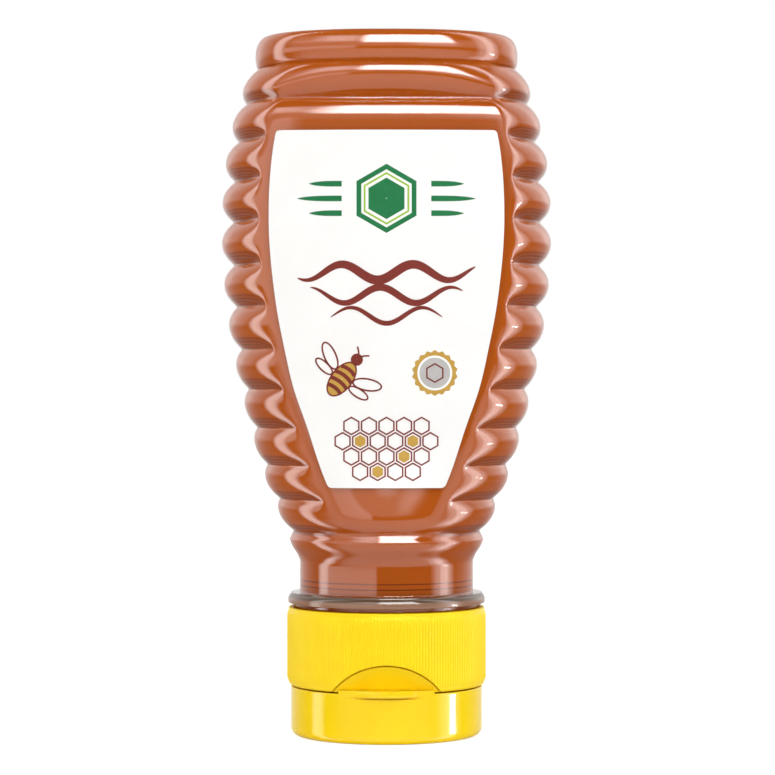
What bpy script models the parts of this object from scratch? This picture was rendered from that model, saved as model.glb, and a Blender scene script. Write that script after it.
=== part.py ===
"""Honey squeeze bottle that stands upside down on its flip-top cap.

Lengths are in metres and +Z is up. The origin is the middle of the lid's flat face, on
which the bottle stands, and the front label faces -Y. The bottle is one blown shell with
ribs that run round its sides and die out at a flat panel on its front and back.
"""

import math

import bmesh
import bpy
from mathutils import Vector

# Heights of the stack, from the standing face up
LID_HEIGHT = 0.0099
PARTING_GAP = 0.0003
SKIRT_HEIGHT = 0.0157
RIM_TO_FLANGE = 0.0008
FLANGE_THICKNESS = 0.0022
NECK_LENGTH = 0.0063
SHOULDER_HEIGHT = 0.0061
RIBBED_HEIGHT = 0.0933
FOOT_HEIGHT = 0.0062

# Blown body
BODY_HALF_WIDTH = 0.0334
FOOT_OVERHANG = 0.0003
PANEL_RECESS = 0.0019
PANEL_RADIUS = 0.200
EDGE_SOFTENING = 0.0003
PANEL_BLEND_LOW = 0.018
PANEL_BLEND_HIGH = 0.009
FOOT_CORNER = 0.0036
FOOT_CORNER_REACH = 0.0020
FOOT_RIM_WIDTH = 0.0035
PUSH_UP_DEPTH = 0.0020
PUSH_UP_SLOPE = 0.0040
GROOVE_DEPTH = 0.0023
BODY_WALL = 0.0007

# Neck and its thread
FINISH_RADIUS = 0.0173
NECK_WALL = 0.0013
NECK_STEP = 0.0003
SHOULDER_REACH = 0.00277
SHOULDER_SWELL = 0.00205
FLANGE_REACH = 0.0027
FLANGE_ROUNDING = 0.0004
RIM_LIFT = 0.0057
RIM_CHAMFER = 0.0003
BEAD_HEIGHT = 0.0012
BEAD_GAP = 0.0003
THREAD_DEPTH = 0.0012
THREAD_LEAD = 0.00423
THREAD_START = 0.0022
THREAD_MARGIN = 0.0011
THREAD_ROOT_HEIGHT = 0.0020
THREAD_CREST_HEIGHT = 0.0009
THREAD_EMBED = 0.0003

# Honey and label
HONEY_GAP = 0.0003
LABEL_RISE = 0.0092
LABEL_DROP = 0.0137
LABEL_INSET = 0.00185
LABEL_GAP = 0.0003
LABEL_THICKNESS = 0.0002
LABEL_CORNER = 0.0012

# Cap base
SKIRT_WALL = 0.00105
CAP_RIM_ROUNDING = 0.0004
CAP_FOOT_ROUNDING = 0.0007
THREAD_GAP = 0.00035
DECK_THICKNESS = 0.0016
PLUG_GAP = 0.0004
PLUG_WALL = 0.0010
PLUG_REACH = 0.0018
KNURL_DEPTH = 0.00018
KNURL_LIFT = 0.00010
KNURL_MARGIN_TOP = 0.0006
KNURL_MARGIN_BOTTOM = 0.0004
KNURL_EMBED = 0.0005
ORIFICE_RADIUS = 0.0050
WELL_LEDGE = 0.0018
WELL_WALL = 0.0012
WELL_RISE = 0.0020
SPOUT_LIFT = 0.0041
LIP_THICKNESS = 0.0011
SPOUT_CHAMFER = 0.0005

# Thumb scoop in the cap base
SCOOP_HEIGHT = 0.0056
SCOOP_HALF_WIDTH = 0.0109
SCOOP_STEP = 0.00025
SCOOP_WALL = 0.0015
CUT_OVERRUN = 0.0010

# Valve and the ring that holds it
FIT_GAP = 0.0003
VALVE_FLANGE_THICKNESS = 0.0010
SLEEVE_GAP = 0.0004
SLEEVE_WALL = 0.0007
SLEEVE_DROP = 0.0008
HEAD_THICKNESS = 0.0008
HEAD_RISE = 0.0011
SLIT_WIDTH = 0.0002
RETAINER_WALL = 0.0019
RETAINER_HEIGHT = 0.0024
RETAINER_CHAMFER = 0.0004

# Flip lid
LID_STEP = 0.0005
LID_WALL = 0.0012
LID_PLATE = 0.0014
LID_FILLET = 0.0016
LID_RIM_CHAMFER = 0.0002
SEAL_GAP = 0.00035
SEAL_WALL = 0.0010
SEAL_OVERLAP = 0.0011
NUB_GAP = 0.0004
SHELF_THICKNESS = 0.0013
SHELF_WIDTH = 0.0010
SHELF_DROP = 0.00015
LIP_REACH = 0.0011
LIP_HALF_WIDTH = 0.0075
LIP_HEIGHT = 0.0012
LIP_LIFT = 0.0007
PAD_DROP = 0.0003

# Film hinge at the back of the cap
HINGE_WIDTH = 0.0095
HINGE_THICKNESS = 0.00045
HINGE_WING = 0.0026
HINGE_BULGE = 0.00025
HINGE_PAD_MARGIN = 0.0008
HINGE_PAD_PROUD = 0.0001
HINGE_PAD_ROOT = 0.0002
HINGE_BACKING = 0.0014

# Shares of the ribbed height at which the grooves lie, from the neck to the foot
GROOVE_SHARES = (
    0.0, 0.070, 0.144, 0.224, 0.307, 0.393, 0.485,
    0.575, 0.668, 0.756, 0.842, 0.924, 1.0,
)
# (share of the ribbed height, share of the deepest groove's depth)
DEPTH_SHARES = (
    (0.0, 0.62), (0.14, 0.58), (0.30, 0.66), (0.48, 0.88), (0.66, 1.0), (0.84, 0.84), (1.0, 0.62),
)
FULL_ROUND_GROOVES = (0, 11, 12)
RIB_ROUNDNESS_SHARE = 0.72
# (share of the ribbed height, share of the swell from the neck end to the widest rib)
OUTLINE_SHARES = (
    (0.0, 0.0), (0.116, 0.335), (0.274, 0.652), (0.445, 0.892),
    (0.624, 1.0), (0.800, 0.938), (0.927, 0.744), (1.0, 0.539),
)
# (share of the ribbed height, share of the crest half width) of the flat panel's edge
PANEL_SHARES = (
    (0.0, 0.50), (0.065, 0.525), (0.139, 0.581), (0.224, 0.627), (0.307, 0.679),
    (0.400, 0.705), (0.489, 0.727), (0.670, 0.750), (0.842, 0.743), (1.0, 0.70),
)
CHEEK_POWER_SHARE = 2.2
FOOT_POWER_SHARE = 2.35
FOOT_SHARE = 0.796
GROOVE_START_SHARE = 0.8
# (share of the shoulder's height, share of its swell) from the neck up to the first groove
SHOULDER_SHARES = (
    (0.0, 0.0), (0.20, 0.24), (0.47, 0.745), (0.60, 0.92), (0.73, 1.0), (0.87, 0.84),
)
THREAD_OFFSET_SHARE = 0.45
CAP_THREAD_SHARE = 1.2
LABEL_CORNER_SHARES = (0.0, 0.3, 1.0)
# (share of the hinge's half bend, share of its bulge)
HINGE_BULGE_SHARES = ((-1.0, 0.0), (-0.5, 0.7), (0.0, 1.0), (0.5, 0.7), (1.0, 0.0))
SLIT_SHARE = 0.64
HEAD_EDGE_SHARE = 0.9
KNURL_TURN_SHARE = 0.5

# Counts
PANEL_STEPS = 2
CHEEK_STEPS = 5
CAP_STEPS = 36
ROUND_STEPS = 20
FILLET_STEPS = 3
DOME_STEPS = 3
ARCH_STEPS = 12
KNURL_RIBS = 3 * CAP_STEPS
THREAD_STEPS_PER_TURN = 24
LABEL_ROWS = 8

# Colours and finishes: linear RGBA, roughness, transmission
HONEY_COLOUR = (0.40, 0.075, 0.008, 1.0)
PET_COLOUR = (0.90, 0.80, 0.72, 1.0)
CAP_COLOUR = (0.98, 0.71, 0.012, 1.0)
LABEL_COLOUR = (0.92, 0.92, 0.91, 1.0)
VALVE_COLOUR = (0.85, 0.85, 0.83, 1.0)
RETAINER_COLOUR = (0.82, 0.82, 0.80, 1.0)

# Heights worked out from the stack
SKIRT_BOTTOM = LID_HEIGHT + PARTING_GAP
SKIRT_TOP = SKIRT_BOTTOM + SKIRT_HEIGHT
FLANGE_BOTTOM = SKIRT_TOP + RIM_TO_FLANGE
FLANGE_TOP = FLANGE_BOTTOM + FLANGE_THICKNESS
NECK_TOP = FLANGE_TOP + NECK_LENGTH
RIBS_BOTTOM = NECK_TOP + SHOULDER_HEIGHT
RIBS_TOP = RIBS_BOTTOM + RIBBED_HEIGHT
BOTTLE_TOP = RIBS_TOP + FOOT_HEIGHT
LABEL_BOTTOM = RIBS_BOTTOM + LABEL_RISE
LABEL_TOP = RIBS_TOP - LABEL_DROP
NECK_RIM = SKIRT_BOTTOM + RIM_LIFT
DECK_TOP = SKIRT_BOTTOM + DECK_THICKNESS
PLUG_TOP = NECK_RIM + PLUG_REACH
SPOUT_BOTTOM = LID_PLATE + SPOUT_LIFT
LIP_TOP = SPOUT_BOTTOM + LIP_THICKNESS
VALVE_SEAT = LIP_TOP + FIT_GAP
RETAINER_BOTTOM = VALVE_SEAT + VALVE_FLANGE_THICKNESS + FIT_GAP

# Neck and thread, each from the plain finish
THREAD_CREST_RADIUS = FINISH_RADIUS + THREAD_DEPTH
BORE_RADIUS = FINISH_RADIUS - NECK_WALL
NECK_RADIUS = FINISH_RADIUS + NECK_STEP
SHOULDER_RADIUS = NECK_RADIUS + SHOULDER_REACH
FLANGE_RADIUS = FINISH_RADIUS + FLANGE_REACH
THREAD_BOTTOM = NECK_RIM + THREAD_START
THREAD_TOP = FLANGE_BOTTOM - BEAD_HEIGHT - THREAD_MARGIN - THREAD_ROOT_HEIGHT / 2
THREAD_TURNS = (THREAD_TOP - THREAD_BOTTOM) / THREAD_LEAD

# Radii and places worked out from the pieces that they fit
SKIRT_INNER_RADIUS = THREAD_CREST_RADIUS + THREAD_GAP
BEAD_RADIUS = SKIRT_INNER_RADIUS - BEAD_GAP
CAP_RADIUS = SKIRT_INNER_RADIUS + SKIRT_WALL
FOOT_HALF_DEPTH = CAP_RADIUS + FOOT_OVERHANG
PANEL_HALF_DEPTH = FOOT_HALF_DEPTH - PANEL_RECESS
LID_RADIUS = CAP_RADIUS - LID_STEP
PLUG_RADIUS = BORE_RADIUS - PLUG_GAP
WELL_RADIUS = ORIFICE_RADIUS + WELL_LEDGE
WELL_OUTER_RADIUS = WELL_RADIUS + WELL_WALL
INSERT_RADIUS = WELL_RADIUS - FIT_GAP
SLEEVE_RADIUS = ORIFICE_RADIUS - SLEEVE_GAP
SLEEVE_BOTTOM = SPOUT_BOTTOM - SLEEVE_DROP
HEAD_RADIUS = SLEEVE_RADIUS - SLEEVE_WALL
SCOOP_ARCH_RADIUS = (SCOOP_HALF_WIDTH**2 + SCOOP_HEIGHT**2) / (2 * SCOOP_HEIGHT)
SCOOP_FLOOR = math.sqrt(CAP_RADIUS**2 - SCOOP_HALF_WIDTH**2) - SCOOP_STEP
HINGE_PAD_FACE = LID_RADIUS + HINGE_PAD_PROUD
HINGE_FACE = HINGE_PAD_FACE + FIT_GAP
HINGE_AXIS_Y = HINGE_FACE + HINGE_THICKNESS / 2
HINGE_AXIS_Z = LID_HEIGHT + PARTING_GAP / 2


def smooth_step(value):
    """Eases from 0 to 1 as the value goes from 0 to 1."""
    value = min(max(value, 0.0), 1.0)
    return value * value * (3 - 2 * value)


def curve_through(points, at):
    """The height at one place of a smooth curve through points that ascend in their first number."""
    index = 0
    while index < len(points) - 2 and at > points[index + 1][0]:
        index += 1
    (x0, y0), (x1, y1) = points[index], points[index + 1]
    before = points[max(index - 1, 0)]
    after = points[min(index + 2, len(points) - 1)]
    slope0 = (y1 - before[1]) / (x1 - before[0])
    slope1 = (after[1] - y0) / (after[0] - x0)
    width = x1 - x0
    t = min(max((at - x0) / width, 0.0), 1.0)
    start = (1 + 2 * t) * (1 - t) ** 2 * y0 + t * (1 - t) ** 2 * width * slope0
    return start + t * t * (3 - 2 * t) * y1 + t * t * (t - 1) * width * slope1


def crest_half_width(z):
    """Half width across the crests of the ribs at a height."""
    share = (z - RIBS_BOTTOM) / RIBBED_HEIGHT
    swell = BODY_HALF_WIDTH - SHOULDER_RADIUS
    return SHOULDER_RADIUS + swell * curve_through(OUTLINE_SHARES, share)


def panel_half_width(z):
    """Half width of the flat front panel at a height."""
    share = (z - RIBS_BOTTOM) / RIBBED_HEIGHT
    return crest_half_width(z) * curve_through(PANEL_SHARES, share)


def oval_half_depth(z):
    """Half depth of the plain oval that the body would be without its panels."""
    share = min(max((z - RIBS_BOTTOM) / RIBBED_HEIGHT, 0.0), 1.0)
    return SHOULDER_RADIUS + (FOOT_HALF_DEPTH - SHOULDER_RADIUS) * share


def oval_power(z):
    """Fullness of that oval: a true ellipse at the neck, squarer towards the foot."""
    share = min(max((z - RIBS_BOTTOM) / RIBBED_HEIGHT, 0.0), 1.0)
    return 2 + (FOOT_POWER_SHARE - 2) * share


def panel_blend(z):
    """How far the outline has gone from the plain oval to the flat panels, from 0 to 1."""
    low = smooth_step((z - RIBS_BOTTOM) / PANEL_BLEND_LOW)
    return low * smooth_step((RIBS_TOP - z) / PANEL_BLEND_HIGH)


def panel_depth(x):
    """Depth of the gently crowned panel at a distance from its middle line."""
    return PANEL_HALF_DEPTH - x * x / (2 * PANEL_RADIUS)


def oval_quarter(half_width, half_depth, edge_share, power=2):
    """Points of an oval from its front middle to its side, with a column at the panel's edge."""
    edge = math.asin(edge_share ** (power / 2))
    side = math.pi / 2 - edge
    front = [edge * step / PANEL_STEPS for step in range(PANEL_STEPS)]
    cheek = [edge + side * step / CHEEK_STEPS for step in range(CHEEK_STEPS + 1)]
    return [
        (half_width * math.sin(angle) ** (2 / power), half_depth * math.cos(angle) ** (2 / power))
        for angle in front + cheek
    ]


def panelled_quarter(half_width, edge):
    """Points from the front middle along the panel and round the cheek to the side."""
    power = CHEEK_POWER_SHARE
    share = edge / half_width
    reach = panel_depth(edge) / (1 - share**power) ** (1 / power)
    start = math.acos(share ** (power / 2))
    points = []
    for step in range(PANEL_STEPS):
        x = edge * step / PANEL_STEPS
        points.append((x, panel_depth(x)))
    for step in range(CHEEK_STEPS + 1):
        angle = start * (1 - step / CHEEK_STEPS)
        x = half_width * math.cos(angle) ** (2 / power)
        points.append((x, reach * math.sin(angle) ** (2 / power)))
    points[PANEL_STEPS] = (edge - EDGE_SOFTENING, panel_depth(edge) - EDGE_SOFTENING)
    return points


def full_ring(quarter):
    """The whole outline from its front-right quarter, counted from the front middle."""
    right = [(x, -y) for x, y in quarter] + [(x, y) for x, y in quarter[-2::-1]]
    left = [(-x, y) for x, y in quarter[1:]] + [(-x, -y) for x, y in quarter[-2:0:-1]]
    return right + left


def body_outline(z):
    """The outline of the body at a height, over the crests of its ribs."""
    half_width = crest_half_width(z)
    edge = panel_half_width(z)
    oval = oval_quarter(half_width, oval_half_depth(z), edge / half_width, oval_power(z))
    panelled = panelled_quarter(half_width, edge)
    blend = panel_blend(z)
    quarter = [
        (a[0] + (b[0] - a[0]) * blend, a[1] + (b[1] - a[1]) * blend)
        for a, b in zip(oval, panelled)
    ]
    return full_ring(quarter)


def groove_reach(full_round):
    """How much of its depth a groove has at each column of the full outline."""
    if full_round:
        quarter = [1.0] * (PANEL_STEPS + CHEEK_STEPS + 1)
    else:
        cheek = [0.0, GROOVE_START_SHARE] + [1.0] * (CHEEK_STEPS - 1)
        quarter = [0.0] * PANEL_STEPS + cheek
    return [abs(reach) for reach, _ in full_ring([(value, 0.0) for value in quarter])]


def inset_ring(outline, insets, z):
    """The outline at a height, each point moved inwards by its own inset."""
    ring = []
    for index, (x, y) in enumerate(outline):
        before = Vector(outline[index - 1])
        after = Vector(outline[(index + 1) % len(outline)])
        along = (after - before).normalized()
        inset = insets[index]
        ring.append(Vector((x - along.y * inset, y + along.x * inset, z)))
    return ring


def round_ring(radius, z):
    """A circle with the same columns as the body's outline."""
    quarter = oval_quarter(radius, radius, PANEL_SHARES[0][1])
    return [Vector((x, y, z)) for x, y in full_ring(quarter)]


def groove_depth(index):
    """Depth of a groove, deepest where the body is widest."""
    return GROOVE_DEPTH * curve_through(DEPTH_SHARES, GROOVE_SHARES[index])


def rib_arc(offset):
    """Share of the groove's depth at an offset from the crest, where 1 is the groove itself."""
    full = 1 - math.sqrt(1 - RIB_ROUNDNESS_SHARE**2)
    return (1 - math.sqrt(1 - (RIB_ROUNDNESS_SHARE * offset) ** 2)) / full


def rib_rings(steps, inset):
    """Rings of the ribbed wall from the neck end to the foot end, moved inwards by an inset."""
    rings = []
    for index in range(len(GROOVE_SHARES) - 1):
        low = RIBS_BOTTOM + RIBBED_HEIGHT * GROOVE_SHARES[index]
        high = RIBS_BOTTOM + RIBBED_HEIGHT * GROOVE_SHARES[index + 1]
        for step in range(steps):
            offset = 2 * step / steps - 1
            groove = index if offset < 0 else index + 1
            z = low + (high - low) * step / steps
            rings.append(groove_ring(z, groove, rib_arc(offset), inset))
    rings.append(groove_ring(RIBS_TOP, len(GROOVE_SHARES) - 1, 1.0, inset))
    return rings


def groove_ring(z, groove, share, inset):
    """One ring of the ribbed wall at a share of the depth of a groove."""
    depth = groove_depth(groove) * share
    reaches = groove_reach(groove in FULL_ROUND_GROOVES)
    return inset_ring(body_outline(z), [inset + depth * reach for reach in reaches], z)


def foot_rings(inset, top):
    """Rings of the foot band from its lowest groove over its rounded corner to its flat rim."""
    outline = body_outline(RIBS_TOP)
    band = FOOT_HEIGHT - FOOT_CORNER
    crest = BODY_HALF_WIDTH * FOOT_SHARE / crest_half_width(RIBS_TOP)
    outline = [(x * crest, y) for x, y in outline]
    rings = []
    for step in range(1, 3):
        z = RIBS_TOP + band * step / 2
        rings.append(inset_ring(outline, [inset] * len(outline), z))
    corner = max(FOOT_CORNER_REACH - inset, 0.0)
    for step in range(1, FILLET_STEPS + 1):
        turn = math.pi / 2 * step / FILLET_STEPS
        z = RIBS_TOP + band + (top - RIBS_TOP - band) * math.sin(turn)
        rings.append(inset_ring(outline, [inset + corner * (1 - math.cos(turn))] * len(outline), z))
    return rings


def push_up_rings(inset):
    """Rings of the shallow recess in the foot, from the rim inwards."""
    outer = foot_rings(inset, BOTTLE_TOP - inset)[-1]
    half_width = max(point.x for point in outer)
    rings = []
    for reach, drop in ((FOOT_RIM_WIDTH, 0.0), (FOOT_RIM_WIDTH + PUSH_UP_SLOPE, PUSH_UP_DEPTH)):
        share = 1 - reach / half_width
        rings.append([Vector((p.x * share, p.y * share, p.z - drop)) for p in outer])
    return rings


def shoulder_rings(inset, step=1):
    """Rings from the straight neck out to the roll under the first groove."""
    return [
        round_ring(NECK_RADIUS + SHOULDER_SWELL * out - inset, NECK_TOP + SHOULDER_HEIGHT * up)
        for up, out in SHOULDER_SHARES[::step]
    ]


def finish_profile():
    """Radius and height pairs of the outer neck, from its rim up to the flange's top."""
    bead_bottom = FLANGE_BOTTOM - BEAD_HEIGHT
    step = BEAD_RADIUS - FINISH_RADIUS
    edge = FLANGE_ROUNDING
    return [
        (FINISH_RADIUS - RIM_CHAMFER, NECK_RIM),
        (FINISH_RADIUS, NECK_RIM + RIM_CHAMFER),
        (FINISH_RADIUS, bead_bottom - step / 2),
        (BEAD_RADIUS, bead_bottom),
        (BEAD_RADIUS, FLANGE_BOTTOM),
        (FLANGE_RADIUS - edge, FLANGE_BOTTOM),
        (FLANGE_RADIUS, FLANGE_TOP - 2 * edge),
        (FLANGE_RADIUS - edge, FLANGE_TOP - edge),
        (NECK_RADIUS + edge, FLANGE_TOP),
        (NECK_RADIUS, FLANGE_TOP + 2 * edge),
    ]


def bore_profile(inset):
    """Radius and height pairs of the inside of the neck, from its rim up to the straight neck."""
    return [
        (BORE_RADIUS + RIM_CHAMFER - inset, NECK_RIM),
        (BORE_RADIUS - inset, NECK_RIM + RIM_CHAMFER),
        (BORE_RADIUS - inset, FLANGE_BOTTOM),
        (NECK_RADIUS - BODY_WALL - inset, FLANGE_TOP + RIM_CHAMFER),
    ]


def add_object(name, bm, material, sharp_degrees=35):
    """A new object from a bmesh, with its faces turned outwards and shaded smooth."""
    bmesh.ops.recalc_face_normals(bm, faces=bm.faces)
    mesh = bpy.data.meshes.new(name)
    bm.to_mesh(mesh)
    bm.free()
    mesh.shade_smooth()
    mesh.set_sharp_from_angle(angle=math.radians(sharp_degrees))
    obj = bpy.data.objects.new(name, mesh)
    bpy.context.scene.collection.objects.link(obj)
    if material:
        mesh.materials.append(material)
    return obj


def loft(name, rings, material, cap_start=None, cap_end=None):
    """A closed body through rings of equal counts, with a middle point over each end."""
    bm = bmesh.new()
    loops = [[bm.verts.new(point) for point in ring] for ring in rings]
    count = len(loops[0])
    for low, high in zip(loops, loops[1:]):
        for index in range(count):
            after = (index + 1) % count
            bm.faces.new((low[index], low[after], high[after], high[index]))
    for loop, middle in ((loops[0], cap_start), (loops[-1], cap_end)):
        centre = bm.verts.new(middle)
        for index in range(count):
            bm.faces.new((centre, loop[index], loop[(index + 1) % count]))
    return add_object(name, bm, material)


def turned(name, profile, material, steps=CAP_STEPS, closed=True):
    """A body of revolution about Z from radius and height pairs."""
    bm = bmesh.new()
    verts = [bm.verts.new((radius, 0.0, z)) for radius, z in profile]
    pairs = list(zip(verts, verts[1:]))
    if closed:
        pairs.append((verts[-1], verts[0]))
    edges = [bm.edges.new(pair) for pair in pairs]
    bmesh.ops.spin(
        bm, geom=verts + edges, cent=(0, 0, 0), axis=(0, 0, 1),
        angle=2 * math.pi, steps=steps, use_merge=True,
    )
    bmesh.ops.remove_doubles(bm, verts=bm.verts, dist=min(SLIT_WIDTH, RIM_CHAMFER) / 100)
    return add_object(name, bm, material)


def prism(name, outline, low, high, material=None):
    """An upright or lying block from an outline of points, pushed out from low to high."""
    bm = bmesh.new()
    verts = [bm.verts.new(Vector(point) + Vector(low)) for point in outline]
    face = bm.faces.new(verts)
    moved = bmesh.ops.extrude_face_region(bm, geom=[face])["geom"]
    tops = [item for item in moved if isinstance(item, bmesh.types.BMVert)]
    bmesh.ops.translate(bm, vec=Vector(high) - Vector(low), verts=tops)
    return add_object(name, bm, material)


def block(name, low, high):
    """A box between two corners."""
    outline = [(low[0], low[1], 0), (high[0], low[1], 0), (high[0], high[1], 0), (low[0], high[1], 0)]
    return prism(name, outline, (0, 0, low[2]), (0, 0, high[2]))


def combine(obj, helper, operation):
    """Adds or cuts a helper body, which stays in the scene as a hidden guide."""
    helper.hide_render = True
    helper.display_type = "WIRE"
    modifier = obj.modifiers.new(helper.name, "BOOLEAN")
    modifier.operation = operation
    modifier.solver = "EXACT"
    modifier.object = helper


def helix_ridge(name, root_radius, crest_radius, start, turns):
    """A right-handed thread ridge whose flanks taper to nothing at both ends."""
    bm = bmesh.new()
    inwards = 1 if crest_radius > root_radius else -1
    buried = root_radius - inwards * THREAD_EMBED
    steps = round(turns * THREAD_STEPS_PER_TURN)
    loops = []
    for step in range(steps + 1):
        angle = 2 * math.pi * turns * step / steps
        z = start + THREAD_LEAD * turns * step / steps
        fade = min(1.0, step / 4, (steps - step) / 4)
        sunk = THREAD_EMBED * (1 - fade) / 2
        crest = root_radius + (crest_radius - root_radius) * fade - inwards * sunk
        root_half = THREAD_ROOT_HEIGHT / 2
        crest_half = THREAD_CREST_HEIGHT / 2
        corners = (
            (buried, -root_half), (crest, -crest_half), (crest, crest_half), (buried, root_half),
        )
        loops.append([
            bm.verts.new((r * math.cos(angle), r * math.sin(angle), z + dz)) for r, dz in corners
        ])
    for low, high in zip(loops, loops[1:]):
        for index in range(4):
            after = (index + 1) % 4
            bm.faces.new((low[index], low[after], high[after], high[index]))
    bm.faces.new(loops[0])
    bm.faces.new(loops[-1])
    return add_object(name, bm, None)


def make_bottle_shell(material):
    """The blown shell: ribbed body, shoulder roll, neck, flange and threaded finish."""
    push_up = push_up_rings(0.0)
    outer = push_up[::-1] + foot_rings(0.0, BOTTLE_TOP)[::-1] + rib_rings(4, 0.0)[::-1]
    outer += shoulder_rings(0.0)[::-1]
    outer += [round_ring(radius, z) for radius, z in finish_profile()[::-1]]
    inner = [round_ring(radius, z) for radius, z in bore_profile(0.0)]
    inner += shoulder_rings(BODY_WALL, 2) + rib_rings(2, BODY_WALL)
    inner += foot_rings(BODY_WALL, BOTTLE_TOP - BODY_WALL)
    inner += push_up_rings(BODY_WALL)
    outer_middle = (0, 0, BOTTLE_TOP - PUSH_UP_DEPTH)
    inner_middle = (0, 0, BOTTLE_TOP - BODY_WALL - PUSH_UP_DEPTH)
    shell = loft("bottle_shell", outer + inner, material, outer_middle, inner_middle)
    thread = helix_ridge(
        "neck_thread", FINISH_RADIUS, THREAD_CREST_RADIUS, THREAD_BOTTOM, THREAD_TURNS
    )
    combine(shell, thread, "UNION")
    return shell


def make_honey(material):
    """The honey, which fills the shell from the plug seal up to the foot."""
    inset = BODY_WALL + HONEY_GAP
    bottom = PLUG_TOP + HONEY_GAP
    bore = BORE_RADIUS - HONEY_GAP
    straight = NECK_RADIUS - inset
    rings = [round_ring(bore, bottom), round_ring(bore, FLANGE_BOTTOM)]
    rings += [round_ring(straight, FLANGE_TOP + RIM_CHAMFER)]
    rings += shoulder_rings(inset, 2) + rib_rings(2, inset)
    rings += foot_rings(inset, BOTTLE_TOP - inset) + push_up_rings(inset)
    top = BOTTLE_TOP - PUSH_UP_DEPTH - inset
    return loft("honey_fill", rings, material, (0, 0, bottom), (0, 0, top))


def label_half_width(z):
    """Half width of the label at a height, with its four corners rounded off."""
    low = min(z - LABEL_BOTTOM, LABEL_TOP - z)
    short = max(LABEL_CORNER - low, 0.0)
    rounding = LABEL_CORNER - math.sqrt(max(LABEL_CORNER**2 - short**2, 0.0))
    return panel_half_width(z) - LABEL_INSET - rounding


def label_heights():
    """Heights of the label's rows, closer at its rounded corners."""
    low = [LABEL_BOTTOM + LABEL_CORNER * share for share in LABEL_CORNER_SHARES]
    high = [LABEL_TOP - LABEL_CORNER * share for share in LABEL_CORNER_SHARES[::-1]]
    span = high[0] - low[-1]
    middle = [low[-1] + span * step / LABEL_ROWS for step in range(1, LABEL_ROWS)]
    return low + middle + high


def make_label(material):
    """The front label: a thin sheet on the flat panel, narrower towards the neck."""
    bm = bmesh.new()
    grid = []
    for z in label_heights():
        row = []
        half = label_half_width(z)
        for step in range(2 * PANEL_STEPS + 1):
            x = half * (step / PANEL_STEPS - 1)
            depth = panel_front(x, z) + LABEL_GAP
            row.append(bm.verts.new((x, -depth, z)))
        grid.append(row)
    for low, high in zip(grid, grid[1:]):
        for index in range(len(low) - 1):
            bm.faces.new((low[index], low[index + 1], high[index + 1], high[index]))
    back = bmesh.ops.extrude_face_region(bm, geom=list(bm.faces))["geom"]
    front_verts = [item for item in back if isinstance(item, bmesh.types.BMVert)]
    bmesh.ops.translate(bm, vec=(0, -LABEL_THICKNESS, 0), verts=front_verts)
    return add_object("front_label", bm, material)


def panel_front(x, z):
    """Depth of the body's front at a place on the panel."""
    power = oval_power(z)
    oval = oval_half_depth(z) * (1 - abs(x / crest_half_width(z)) ** power) ** (1 / power)
    return oval + (panel_depth(x) - oval) * panel_blend(z)


def quarter_round(radius, bottom, rounding):
    """Radius and height pairs round the rounded lower edge of a turned wall."""
    turns = [math.pi / 2 * step / FILLET_STEPS for step in range(FILLET_STEPS + 1)]
    return [
        (radius - rounding * (1 - math.sin(turn)), bottom + rounding * (1 - math.cos(turn)))
        for turn in turns
    ]


def dome(radius, base, rise, shares):
    """Radius and height pairs over a shallow dome, at shares of its radius."""
    return [(radius * share, base + rise * (1 - share**2)) for share in shares]


def cap_base_profile():
    """Radius and height pairs round the cap base, from the orifice outwards and back."""
    rim = CAP_RIM_ROUNDING
    foot = CAP_FOOT_ROUNDING
    foot_arc = quarter_round(CAP_RADIUS, SKIRT_BOTTOM, foot)
    outer = [
        (CAP_RADIUS, SKIRT_TOP - rim),
        (CAP_RADIUS - rim / 3, SKIRT_TOP - rim / 3),
        (CAP_RADIUS - rim, SKIRT_TOP),
        (SKIRT_INNER_RADIUS + rim / 2, SKIRT_TOP),
        (SKIRT_INNER_RADIUS, SKIRT_TOP - rim / 2),
        (SKIRT_INNER_RADIUS, DECK_TOP),
    ]
    plug = [
        (PLUG_RADIUS, DECK_TOP),
        (PLUG_RADIUS, PLUG_TOP - PLUG_WALL / 2),
        (PLUG_RADIUS - PLUG_WALL / 3, PLUG_TOP),
        (PLUG_RADIUS - PLUG_WALL, PLUG_TOP),
        (PLUG_RADIUS - PLUG_WALL, DECK_TOP),
    ]
    well = [
        (WELL_OUTER_RADIUS, DECK_TOP),
        (WELL_OUTER_RADIUS, DECK_TOP + WELL_RISE),
        (WELL_RADIUS, DECK_TOP + WELL_RISE),
        (WELL_RADIUS, LIP_TOP),
        (ORIFICE_RADIUS, LIP_TOP),
        (ORIFICE_RADIUS, SPOUT_BOTTOM),
        (WELL_OUTER_RADIUS - SPOUT_CHAMFER, SPOUT_BOTTOM),
        (WELL_OUTER_RADIUS, SPOUT_BOTTOM + SPOUT_CHAMFER),
        (WELL_OUTER_RADIUS, SKIRT_BOTTOM),
    ]
    return foot_arc + outer + plug + well


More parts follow.
